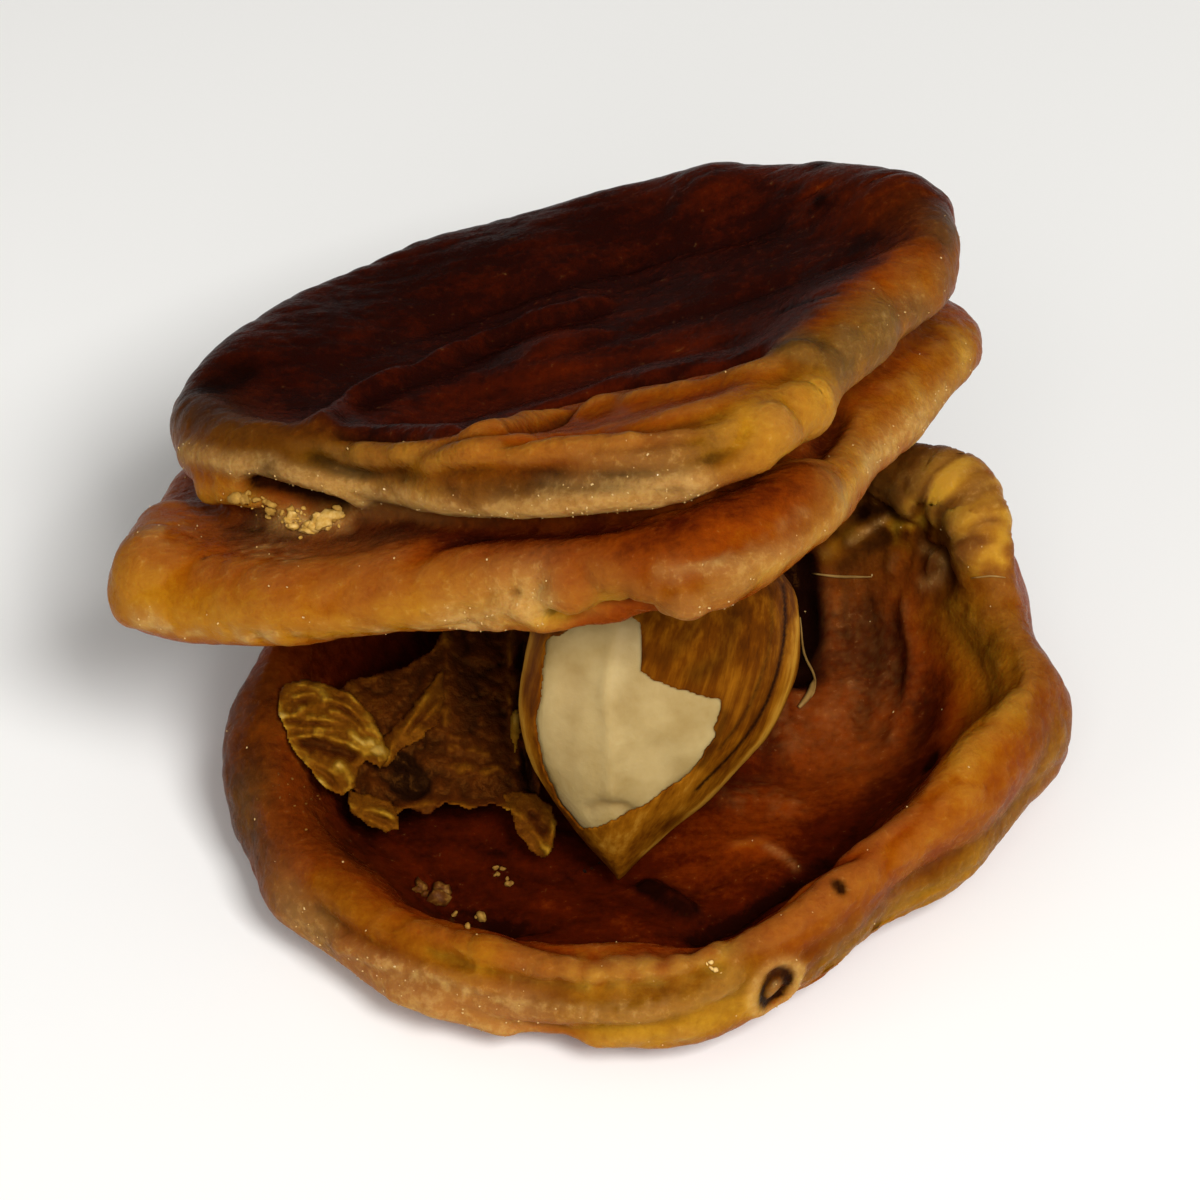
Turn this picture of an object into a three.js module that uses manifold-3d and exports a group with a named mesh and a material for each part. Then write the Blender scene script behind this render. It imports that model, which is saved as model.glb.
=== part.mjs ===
// A dried apricot, opened like a shell round its kernel.
// Millimetres. +Z is up, +X to the right of the open side, +Y away from it.
import * as THREE from "three";
import { mergeVertices } from "three/addons/utils/BufferGeometryUtils.js";
import Module from "manifold-3d";

const wasm = await Module();
wasm.setup();

// Driving dimensions of the flesh
const FLOOR = 2.3; // flesh under the hollow of the lower half
const FLAT_SPOT = 0.5; // share of the lower half's outline that lies flat on the surface
const UPPER_PITCH = 16; // degrees by which the front of the upper half is lifted
const UPPER_ROLL = 14; // degrees by which its right side is higher than its left
const UPPER_CENTRE = [-5.2, 8, 19.4]; // middle of the crease between its two folds
const CREASE = 0.2; // share of the outline that the crease cuts in at the open side
const BACK_CREASE = 0.05; // and at the back, where the two folds grow together
const LOWER_PUCKER = { deep: 0.35, apart: 9 }; // the broad puckers of each half's skin
const UPPER_PUCKER = { deep: 0.4, apart: 10 };

// Driving dimensions of the kernel and its coat
const KERNEL = { length: 16.6, width: 12.0, thick: 7, point: 1.5, taper: 0.2 };
const KERNEL_CENTRE = [0.8, -4.7, 10.85];
const KERNEL_LEAN = 23; // degrees that it leans back from upright
const KERNEL_SIDE = 17; // degrees that its top leans to the right
const COAT = 0.7; // thickness of the brown coat
const COAT_GAP = 0.3; // it has dried loose from the kernel

// The shred of papery lining that lies in the hollow, left of the kernel
const LINING = { thick: 0.9, centre: [-11.2, -1.2, 6.35], lean: 24, side: 6 };

// How finely each solid is divided: round its outline, and from pole to pole
const FLESH_AROUND = 60;
const FLESH_STEPS = 2; // between one row of a section and the next
const KERNEL_GRID = [28, 16];
const LINING_GRID = [26, 12];
const MERGE = 1e-3; // vertices closer than this are one

// Outlines, seen from above and anticlockwise from the right.
// The lower half's: how far its wall reaches, and how high its rim stands there.
const LOWER_RIM = [
  [20.7, -0.5, 9.3],
  [19.8, 5.6, 9.0],
  [18.2, 11.2, 11.8],
  [13.2, 15.6, 12.6],
  [5.0, 18.6, 12.8],
  [-4.0, 19.0, 12.5],
  [-12.0, 15.8, 11.3],
  [-18.0, 9.0, 9.2],
  [-20.8, 0.5, 7.7],
  [-19.4, -8.6, 6.2],
  [-14.2, -14.8, 5.5],
  [-5.0, -19.0, 6.2],
  [4.6, -18.8, 7.0],
  [10.9, -13.9, 8.0],
  [16.4, -8.1, 8.8],
];

// The upper half's two folds, in its own tilted plane.
const LOWER_FOLD = [
  [21.4, 3.4],
  [19.6, 10.2],
  [13.8, 15.6],
  [5.0, 18.0],
  [-5.0, 17.4],
  [-13.4, 13.4],
  [-19.2, 6.4],
  [-21.8, -2.6],
  [-20.8, -9.2],
  [-15.4, -12.8],
  [-6.2, -15.4],
  [0.6, -17.6],
  [8.4, -20.0],
  [13.6, -15.4],
  [16.2, -7.0],
  [19.2, -1.8],
];
const UPPER_FOLD = [
  [22.0, 2.6],
  [20.8, 8.2],
  [17.0, 14.0],
  [10.8, 17.0],
  [3.0, 17.9],
  [-4.6, 17.0],
  [-11.4, 13.4],
  [-16.0, 8.0],
  [-18.4, 1.0],
  [-16.4, -5.6],
  [-11.6, -9.0],
  [-6.4, -11.4],
  [-1.6, -15.4],
  [4.8, -18.2],
  [11.4, -16.2],
  [15.2, -10.0],
  [18.6, -4.0],
];

// Sections, from the pole underneath, round the edge, to the pole on top.
// The lower half's: share of the reach, height, and the share of the rim's height added to it.
const LOWER_SECTION = [
  [0, 0, 0],
  [FLAT_SPOT / 2, 0, 0],
  [FLAT_SPOT, 0, 0],
  [0.8, 0.2, 0.06],
  [0.96, 0.4, 0.2],
  [1, 0.2, 0.45],
  [0.98, 0, 0.8],
  [0.92, 0, 1],
  [0.84, 0, 0.92],
  [0.77, 0.4, 0.58],
  [0.66, 0.9 * FLOOR, 0.12],
  [0.46, FLOOR, 0],
  [0.22, FLOOR, 0],
  [0, FLOOR, 0],
];

// The upper half's: share of the reach, height, which fold it belongs to (0 below, 1 above),
// and how much of the crease's depth it takes.
const UPPER_SECTION = [
  [0, -3.1, 0, 0],
  [0.25, -3.2, 0, 0],
  [0.52, -3.5, 0, 0],
  [0.76, -4.0, 0, 0],
  [0.9, -4.5, 0, 0],
  [0.985, -3.9, 0, 0],
  [1, -2.5, 0, 0],
  [0.97, -1.1, 0.1, 0.15],
  [0.99, -0.2, 0.5, 1],
  [0.97, 0.6, 0.9, 0.3],
  [1, 1.7, 1, 0],
  [0.98, 3.2, 1, 0],
  [0.9, 4.4, 1, 0],
  [0.78, 4.0, 1, 0],
  [0.54, 3.0, 1, 0],
  [0.26, 2.7, 1, 0],
  [0, 2.7, 1, 0],
];

// The torn window in the coat, seen from the front: across and along the kernel.
const WINDOW = [
  [-5.9, 5.0],
  [-4.6, 8.6],
  [-1.8, 9.2],
  [-1.8, 5.6],
  [-2.1, 3.4],
  [2.3, 1.5],
  [2.0, -2.4],
  [-0.6, -4.0],
  [-2.8, -6.4],
  [-5.2, -3.4],
  [-6.2, 1.0],
];

// The shred's outline before it crumpled, and the waves that crumpled it.
const LINING_OUTLINE = [
  [5.6, 1.2],
  [4.0, 5.2],
  [-0.6, 6.4],
  [-4.6, 5.0],
  [-6.0, 0.6],
  [-3.6, -4.2],
  [0.6, -3.6],
  [4.6, -6.0],
];
const LINING_WAVES = [
  { deep: 0.9, across: 0.75, along: 0.5, start: 0 },
  { deep: 0.5, across: -0.3, along: 0.9, start: 1 },
];

const radians = THREE.MathUtils.degToRad;

function closedCurve(points) {
  const places = points.map(([x, y, z = 0]) => new THREE.Vector3(x, y, z));
  return new THREE.CatmullRomCurve3(places, true, "catmullrom", 0.5);
}

// Reads a section at a share of its length: straight mixing between its rows, eased at each row.
function readSection(rows, share) {
  const place = Math.min(share, 1 - 1e-9) * (rows.length - 1);
  const row = Math.floor(place);
  const part = place - row;
  const near = (step) => rows[THREE.MathUtils.clamp(row + step, 0, rows.length - 1)];
  return rows[0].map((_, column) => {
    const [a, b, c, d] = [-1, 0, 1, 2].map((step) => near(step)[column]);
    const slopeIn = (c - a) / 2;
    const slopeOut = (d - b) / 2;
    const squared = part * part;
    const cubed = squared * part;
    return (
      (2 * cubed - 3 * squared + 1) * b +
      (cubed - 2 * squared + part) * slopeIn +
      (3 * squared - 2 * cubed) * c +
      (cubed - squared) * slopeOut
    );
  });
}

// A closed skin: place() puts the point at a share of the way round and a share from the lower pole up.
function skin([around, along], place) {
  const geometry = new THREE.SphereGeometry(1, around, along);
  const { position, uv } = geometry.attributes;
  for (let i = 0; i < position.count; i++) {
    const [x, y, z] = place(uv.getX(i), uv.getY(i));
    position.setXYZ(i, x, y, z);
  }
  geometry.deleteAttribute("normal");
  geometry.deleteAttribute("uv");
  return mergeVertices(geometry, MERGE);
}

// Moves every vertex along its normal by the depth that the field gives there.
function pucker(geometry, field) {
  geometry.computeVertexNormals();
  const { position, normal } = geometry.attributes;
  const spot = new THREE.Vector3();
  const out = new THREE.Vector3();
  for (let i = 0; i < position.count; i++) {
    spot.fromBufferAttribute(position, i);
    out.fromBufferAttribute(normal, i);
    spot.addScaledVector(out, field(spot));
    position.setXYZ(i, spot.x, spot.y, spot.z);
  }
  geometry.deleteAttribute("normal");
  return geometry;
}

// The broad puckers of dried flesh: two sets of waves that cross, the first bent by a slower one.
const FIRST_WAVE = new THREE.Vector3(0.9, 0.4, 0);
const SECOND_WAVE = new THREE.Vector3(-0.5, 0.8, 0.6);
const BENDING_WAVE = new THREE.Vector3(0.5, -0.5, 0.5);

function puckers(spot, { deep, apart }) {
  const turns = (wave) => (2 * Math.PI * spot.dot(wave)) / apart;
  const first = Math.sin(turns(FIRST_WAVE) + Math.sin(turns(BENDING_WAVE)));
  const second = Math.sin(turns(SECOND_WAVE));
  return (deep * (first + second)) / 2;
}

// The lower half: a shallow bowl of flesh with a thick rim that curls in.
function lowerHalf() {
  const rim = closedCurve(LOWER_RIM);
  const grid = [FLESH_AROUND, FLESH_STEPS * (LOWER_SECTION.length - 1)];
  const geometry = skin(grid, (round, up) => {
    const edge = rim.getPoint(round);
    const [reach, height, share] = readSection(LOWER_SECTION, up);
    return [edge.x * reach, edge.y * reach, Math.max(0, height + share * edge.z)];
  });
  const settle = (spot) => THREE.MathUtils.smoothstep(spot.z, 0.2, 2);
  return pucker(geometry, (spot) => settle(spot) * puckers(spot, LOWER_PUCKER));
}

// The upper half: two pressed folds that part in a crease at the open side.
function upperHalf() {
  const below = closedCurve(LOWER_FOLD);
  const above = closedCurve(UPPER_FOLD);
  const grid = [FLESH_AROUND, FLESH_STEPS * (UPPER_SECTION.length - 1)];
  const geometry = skin(grid, (round, up) => {
    const [reach, height, fold, crease] = readSection(UPPER_SECTION, up);
    const edge = below.getPoint(round).lerp(above.getPoint(round), THREE.MathUtils.clamp(fold, 0, 1));
    const open = 0.5 - (0.5 * edge.y) / edge.length();
    const cut = 1 - crease * THREE.MathUtils.lerp(BACK_CREASE, CREASE, open);
    return [edge.x * reach * cut, edge.y * reach * cut, height];
  });
  return pucker(geometry, (spot) => puckers(spot, UPPER_PUCKER));
}

// The kernel's form, drawn in front of it: length up, width across, the narrow end at the bottom.
function almond(grow) {
  const [length, width, thick] = [KERNEL.length, KERNEL.width, KERNEL.thick].map((size) => size / 2 + grow);
  return skin(KERNEL_GRID, (round, up) => {
    const fromPole = Math.PI * up;
    const rise = -Math.cos(fromPole);
    const girth = Math.sin(fromPole) ** (rise < 0 ? KERNEL.point : 1) * (1 + KERNEL.taper * rise);
    const turn = 2 * Math.PI * round;
    return [width * girth * Math.cos(turn), thick * girth * Math.sin(turn), length * rise];
  });
}

function solid(geometry) {
  const { position } = geometry.attributes;
  const triVerts = new Uint32Array(geometry.index.array);
  return new wasm.Manifold(new wasm.Mesh({ numProp: 3, vertProperties: position.array, triVerts }));
}

function geometryOf(made) {
  const mesh = made.getMesh();
  const geometry = new THREE.BufferGeometry();
  geometry.setAttribute("position", new THREE.BufferAttribute(mesh.vertProperties, 3));
  return geometry.setIndex(new THREE.BufferAttribute(mesh.triVerts, 1));
}

// The brown coat: a thin skin round the kernel, torn open on the face that shows.
function kernelCoat() {
  const outline = new THREE.Shape(WINDOW.map(([x, y]) => new THREE.Vector2(x, y)));
  const reach = KERNEL.thick;
  const window = new THREE.ExtrudeGeometry(outline, { depth: reach, bevelEnabled: false });
  window.rotateX(Math.PI / 2);
  window.deleteAttribute("normal");
  window.deleteAttribute("uv");
  const torn = solid(mergeVertices(window, MERGE));
  return geometryOf(solid(almond(COAT_GAP + COAT)).subtract(solid(almond(COAT_GAP))).subtract(torn));
}

// A crumpled shred of the papery lining, waved alike on both faces.
function lining() {
  const outline = closedCurve(LINING_OUTLINE);
  return skin(LINING_GRID, (round, up) => {
    const edge = outline.getPoint(round);
    const face = 2 * up - 1;
    const [x, y] = [edge.x, edge.y].map((size) => size * Math.sqrt(1 - face * face));
    let height = (LINING.thick / 2) * Math.sign(face) * Math.sqrt(Math.abs(face));
    for (const { deep, across, along, start } of LINING_WAVES) {
      height += deep * Math.sin(across * x + along * y + start);
    }
    return [x, y, height];
  });
}

function mesh(name, geometry, colour, roughness) {
  const material = new THREE.MeshStandardMaterial({ color: colour, roughness, metalness: 0 });
  geometry.computeVertexNormals();
  const made = new THREE.Mesh(geometry, material);
  made.name = name;
  return made;
}

const lower = mesh("lower_half", lowerHalf(), 0xa4610f, 0.45);

const upper = mesh("upper_half", upperHalf(), 0x8a4508, 0.5);
upper.rotation.set(radians(-UPPER_PITCH), radians(-UPPER_ROLL), 0, "YXZ");
upper.position.set(...UPPER_CENTRE);

const seed = new THREE.Group();
seed.add(mesh("kernel", almond(0), 0xd9c08a, 0.6));
seed.add(mesh("kernel_coat", kernelCoat(), 0x8a5212, 0.6));
seed.rotation.set(radians(-KERNEL_LEAN), radians(KERNEL_SIDE), 0, "YXZ");
seed.position.set(...KERNEL_CENTRE);

const shred = mesh("lining", lining(), 0x8f5f14, 0.5);
shred.rotation.set(radians(LINING.lean), radians(LINING.side), 0);
shred.position.set(...LINING.centre);

// The whole fruit stands over the middle of its own outline.
const fruit = new THREE.Group();
fruit.add(lower, upper, seed, shred);
const span = new THREE.Box3().setFromObject(fruit, true);
const middle = span.getCenter(new THREE.Vector3());
fruit.position.set(-middle.x, -middle.y, -span.min.z);

const apricot = new THREE.Group();
apricot.add(fruit);

export default apricot;
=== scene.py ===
# The looks of a sun-dried apricot, opened like a shell round its kernel.
# Shapes are worked in millimetres and turned to metres when a piece is finished.
import math
import random

import bmesh
import bpy
import numpy as np
from mathutils import Matrix, Vector, noise
from mathutils.bvhtree import BVHTree


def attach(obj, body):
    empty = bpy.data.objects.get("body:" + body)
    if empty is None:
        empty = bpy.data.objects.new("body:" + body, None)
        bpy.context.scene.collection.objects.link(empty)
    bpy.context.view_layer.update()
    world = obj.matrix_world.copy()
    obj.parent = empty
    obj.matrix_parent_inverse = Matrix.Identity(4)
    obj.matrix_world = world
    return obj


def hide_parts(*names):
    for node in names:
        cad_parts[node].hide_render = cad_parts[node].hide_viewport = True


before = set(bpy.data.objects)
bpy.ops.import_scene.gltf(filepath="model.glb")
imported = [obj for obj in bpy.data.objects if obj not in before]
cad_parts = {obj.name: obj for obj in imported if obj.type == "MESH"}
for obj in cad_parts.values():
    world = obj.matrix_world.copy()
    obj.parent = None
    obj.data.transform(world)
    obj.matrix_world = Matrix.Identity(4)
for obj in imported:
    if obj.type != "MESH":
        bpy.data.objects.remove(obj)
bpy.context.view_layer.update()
scene = bpy.context.scene
print("frame loaded:", sorted(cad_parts))

# How the photograph sees the fruit: pixels here are places in its 1200 x 1200 frame.
sight = dict(
    mmPerPixel=0.088,
    originPixel=(796.1, 483.5),  # where the frame's origin would show
    elevation=40,  # degrees above the horizon
)
camera = dict(lens=150, sensor=36, aimHeight=11.0, frameWidth=60.0)  # mm


def sightLine(pixel):
    tilt = math.radians(sight["elevation"])
    right = (pixel[0] - sight["originPixel"][0]) * sight["mmPerPixel"]
    up = (sight["originPixel"][1] - pixel[1]) * sight["mmPerPixel"]
    ahead = Vector((0, math.cos(tilt), -math.sin(tilt)))
    start = Vector((right, up * math.sin(tilt), up * math.cos(tilt))) - ahead * 100
    return start, ahead


def inView(points):  # how far right and how far up each point shows, in mm
    tilt = math.radians(sight["elevation"])
    return np.column_stack([points[:, 0], points[:, 1] * math.sin(tilt) + points[:, 2] * math.cos(tilt)])


def pixelsInView(pixels):
    return inView(np.array([sightLine(p)[0] for p in pixels]))


def makeCamera():
    made = bpy.data.objects.new("camera", bpy.data.cameras.new("camera"))
    scene.collection.objects.link(made)
    made.data.lens = camera["lens"]
    made.data.sensor_width = camera["sensor"]
    away = camera["frameWidth"] * camera["lens"] / camera["sensor"] / 1000
    ahead = sightLine((0, 0))[1]
    made.location = Vector((0, 0, camera["aimHeight"] / 1000)) - ahead * away
    made.rotation_euler = ahead.to_track_quat("-Z", "Y").to_euler()
    made.data.clip_start = 0.01
    scene.camera = made


makeCamera()


# Small tools for shaping a mesh by its points

everyWay = dict(use_axis_x=True, use_axis_y=True, use_axis_z=True)  # for smooth_vert


def smoothStep(value, low, high):
    part = np.clip((value - low) / (high - low), 0, 1)
    return part * part * (3 - 2 * part)


def readPoints(piece):
    count = len(piece.data.vertices)
    points = np.empty(count * 3)
    normals = np.empty(count * 3)
    piece.data.vertices.foreach_get("co", points)
    piece.data.vertices.foreach_get("normal", normals)
    return points.reshape(-1, 3), normals.reshape(-1, 3)


def writePoints(piece, points):
    piece.data.vertices.foreach_set("co", points.ravel())
    piece.data.update()


def writePaint(piece, paint):
    for name, values in paint.items():
        layer = piece.data.attributes.new(name, "FLOAT", "POINT")
        layer.data.foreach_set("value", np.clip(values, 0, 1).astype(np.float32))


def roughness(points, size, start=0.0):  # a smooth random field, about -1 to 1, with lumps of that size
    return np.array([noise.noise(p) for p in points / size + start])


def ridges(points, size, start=0.0):  # sharp random creases, 0 in the creases and 1 between them
    return np.abs(roughness(points, size, start)) ** 0.7


def surfaceTree(piece):
    mesh = piece.data
    return BVHTree.FromPolygons([v.co for v in mesh.vertices], [p.vertices for p in mesh.polygons])


def smoothLine(pixels, apart):  # a curve through the pixels, with a point about every so many of them
    marks = np.array(pixels, float)
    if len(marks) == 1:
        return marks
    ends = np.vstack([2 * marks[0] - marks[1], marks, 2 * marks[-1] - marks[-2]])
    made = []
    for a, b, c, d in zip(ends, ends[1:], ends[2:], ends[3:]):
        count = max(1, round(np.linalg.norm(c - b) / apart))
        for t in np.arange(count) / count:
            made.append(b + 0.5 * t * (c - a + t * (2 * a - 5 * b + 4 * c - d + t * (3 * (b - c) + d - a))))
    return np.vstack(made + [marks[-1]])


def trace(tree, pixels, apart=4):  # the line that the pixels follow on a surface
    hits = [tree.ray_cast(*sightLine(p)) for p in smoothLine(pixels, apart)]
    hits = [h for h in hits if h[0] is not None]
    places = np.array([h[0] for h in hits]).reshape(-1, 3)
    facing = np.array([h[1] for h in hits]).reshape(-1, 3)
    return places, facing


# How far each point is from a line, the line's nearest place, and how far the point is above it in the view
def beside(points, places, facing):
    squares = (points**2).sum(1)[:, None] + (places**2).sum(1)[None] - 2 * points @ places.T
    nearest = squares.argmin(1)
    away = np.sqrt(np.maximum(squares[np.arange(len(points)), nearest], 0))
    heading = np.gradient(places, axis=0) if len(places) > 1 else np.zeros_like(places)
    across = np.cross(facing, heading)
    across /= np.linalg.norm(across, axis=1)[:, None] + 1e-9
    return away, nearest, ((points - places[nearest]) * across[nearest]).sum(1)


# Each point's values averaged with its neighbours', so many times over
def evened(piece, values, rounds):
    count = len(values)
    ends = np.empty(len(piece.data.edges) * 2, int)
    piece.data.edges.foreach_get("vertices", ends)
    here, there = np.concatenate([ends.reshape(-1, 2), ends.reshape(-1, 2)[:, ::-1]]).T
    shared = np.bincount(here, minlength=count)
    for turn in range(rounds):
        values = np.column_stack([np.bincount(here, column[there], count) / shared for column in values.T])
    return values


# A stroke works along a line of pixels. It lifts the surface by so many mm, fading over wide, and tints it
# over spread. Forms: soft is a rounded swelling, cut a sharp groove, fold lifts only what is above the line,
# and crumple makes knobs of some size. The tint may come in patches of some size, in mm too.
# A stroke works on the side that shows, or all around an edge.
def workStrokes(piece, strokes, paint):
    points, normals = readPoints(piece)
    tree = surfaceTree(piece)
    shift = np.zeros(len(points))
    patchy = 0.6 * roughness(points, 2.2, 9.0)
    for stroke in strokes:
        places, facing = trace(tree, stroke["along"], 2)
        if not len(places):
            continue
        away, nearest, above = beside(points, places, facing)
        sameSide = smoothStep((normals * facing[nearest]).sum(1), -0.1, 0.5)
        if stroke.get("around"):
            sameSide[:] = 1
        form = stroke.get("form", "soft")
        wide = stroke.get("wide", 1.0)
        uneven = 1 + patchy * (wide < 1.3)  # no narrow stroke is the same all along
        fade = np.exp(-((away / wide) ** (1.2 if form == "cut" else 2)))
        if form == "fold":
            fade *= 0.5 + 0.5 * np.tanh(above / 0.25)
        elif form == "crumple":
            fade *= 2 * ridges(points, stroke["size"], 4.0) - 0.9
        shift += stroke.get("lift", 0) * fade * sameSide * uneven
        cover = np.exp(-((away / stroke.get("spread", wide)) ** 2)) * sameSide * uneven
        if "patches" in stroke:
            cover *= np.clip(0.6 + 1.8 * roughness(points, stroke["patches"], 13.0), 0, 1.6)
        for name, layer in paint.items():
            layer += stroke.get(name, 0) * cover
    writePoints(piece, points + normals * evened(piece, shift[:, None], 2))


# How far each point stands out from the surface round it, in mm: more rounds look further round
def standing(piece, rounds):
    points, normals = readPoints(piece)
    return evened(piece, ((points - evened(piece, points, rounds)) * normals).sum(1)[:, None], 2)[:, 0]


# Fills what lies lower than the surface round it, along some lines of pixels
def fillHollows(piece, hollows, rounds):
    points, normals = readPoints(piece)
    tree = surfaceTree(piece)
    towards = evened(piece, points, rounds) - points
    low = smoothStep((towards * normals).sum(1), 0, 0.3)
    for hollow in hollows:
        away = beside(points, *trace(tree, hollow["along"], 2))[0]
        points += towards * (low * np.exp(-((away / hollow["wide"]) ** 2)))[:, None]
    writePoints(piece, points)


def sharpen(piece, rounds, amount, most=0.35):  # what stands out stands out more, and creases go deeper
    points, normals = readPoints(piece)
    shift = np.clip(amount * standing(piece, rounds), -most, most)
    writePoints(piece, points + normals * shift[:, None])


sugarLightAndShadeLook = dict(light=0.2, sugar=3.0, creaseShade=5.0)  # how strongly each of them works


# Thin edges are painted lighter, as if light came through them; sugar dries on crests; and creases are
# painted darker, as shade
def sugarLightAndShade(piece, paint):
    broad = standing(piece, 120)
    fine = standing(piece, 8)
    pale = smoothStep(paint["amber"], 0.2, 0.45)
    paint["amber"] += sugarLightAndShadeLook["light"] * np.clip(broad, -0.3, 0.5)
    paint["bloom"] += sugarLightAndShadeLook["sugar"] * np.clip(fine - 0.02, 0, 0.06) * pale
    paint["shade"] += sugarLightAndShadeLook["creaseShade"] * np.clip(-fine - 0.015, 0, 0.06)


def insideOutline(spot, outline):
    inside = False
    for (x0, y0), (x1, y1) in zip(outline, outline[1:] + outline[:1]):
        if (y0 > spot[1]) != (y1 > spot[1]) and spot[0] < x0 + (spot[1] - y0) / (y1 - y0) * (x1 - x0):
            inside = not inside
    return inside


def bakeShape(piece):
    made = bpy.data.meshes.new_from_object(piece.evaluated_get(bpy.context.evaluated_depsgraph_get()))
    piece.modifiers.clear()
    old = piece.data
    piece.data = made
    made.name = piece.name
    bpy.data.meshes.remove(old)


def addPiece(name, mesh):
    piece = bpy.data.objects.new(name, mesh)
    scene.collection.objects.link(piece)
    return piece


def meshPiece(name, body):
    mesh = bpy.data.meshes.new(name)
    body.to_mesh(mesh)
    body.free()
    return addPiece(name, mesh)


# A copy of a solid, merged, rounded, and divided evenly into small faces
def fineCopy(name, node, rounding, voxel, smoothing):
    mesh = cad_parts[node].data.copy()
    mesh.transform(Matrix.Scale(1000, 4))
    mesh.materials.clear()
    body = bmesh.new()
    body.from_mesh(mesh)
    bmesh.ops.remove_doubles(body, verts=body.verts, dist=0.002)
    body.to_mesh(mesh)
    body.free()
    piece = addPiece(name, mesh)
    steps = [
        ("SUBSURF", dict(levels=rounding, render_levels=rounding)),
        ("REMESH", dict(mode="VOXEL", voxel_size=voxel)),
        ("SMOOTH", dict(factor=0.5, iterations=smoothing)),
    ]
    for kind, settings in steps:
        modifier = piece.modifiers.new(kind.lower(), kind)
        for key, value in settings.items():
            setattr(modifier, key, value)
    bakeShape(piece)
    return piece


def finishPiece(piece, material, slotName, *nodes):
    piece.data.transform(Matrix.Scale(0.001, 4))
    piece.data.materials.clear()
    piece.data.materials.append(material)
    for polygon in piece.data.polygons:
        polygon.use_smooth = True
    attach(piece, "root")
    if nodes:
        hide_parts(*nodes)
    print(piece.name, len(piece.data.polygons), "faces")


# Colours and materials


def linear(code):
    parts = [int(code[i : i + 2], 16) / 255 for i in (1, 3, 5)]
    return [p / 12.92 if p <= 0.04045 else ((p + 0.055) / 1.055) ** 2.4 for p in parts] + [1]


def perMm(size):  # a texture scale that gives features of that many millimetres
    return 1000 / size


def newMaterial(name):
    made = bpy.data.materials.new(name)
    made.use_nodes = True
    made.node_tree.nodes.clear()
    return made, made.node_tree


def add(tree, kind, inputs=(), stops=(), **settings):
    made = tree.nodes.new("ShaderNode" + kind)
    for key, value in settings.items():
        setattr(made, key, value)
    for key, value in dict(inputs).items():
        if isinstance(value, bpy.types.NodeSocket):
            tree.links.new(value, made.inputs[key])
        else:
            made.inputs[key].default_value = value
    for i, (place, colour) in enumerate(stops):
        ramp = made.color_ramp.elements
        stop = ramp[i] if i < 2 else ramp.new(place)
        stop.position = place
        stop.color = linear(colour)
    return made


gloss = dict(tint="#ff9c38")  # the fruit's juices are brown, and warm what they reflect
fleshLook = dict(
    mottle=(3.2, 5, 0.6),  # each pattern's size in mm, detail and roughness
    streak=(0.9, 2, 0.5),
    grain=(0.45, 4, 0.65),
    drawnOut=5,  # streaks are so many times longer than wide
    relief=0.17,  # height of the finest bumps, mm
    film="#a57a40", grains="#c9a25e",  # the bloom
    creaseShade="#120402",  # the dark of stains, and of painted shade in creases and hollows
)
oliveStops = ((0.0, "#150a03"), (0.25, "#3a2006"), (0.5, "#643c08"), (0.75, "#936213"), (1.0, "#bb8820"))
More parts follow.
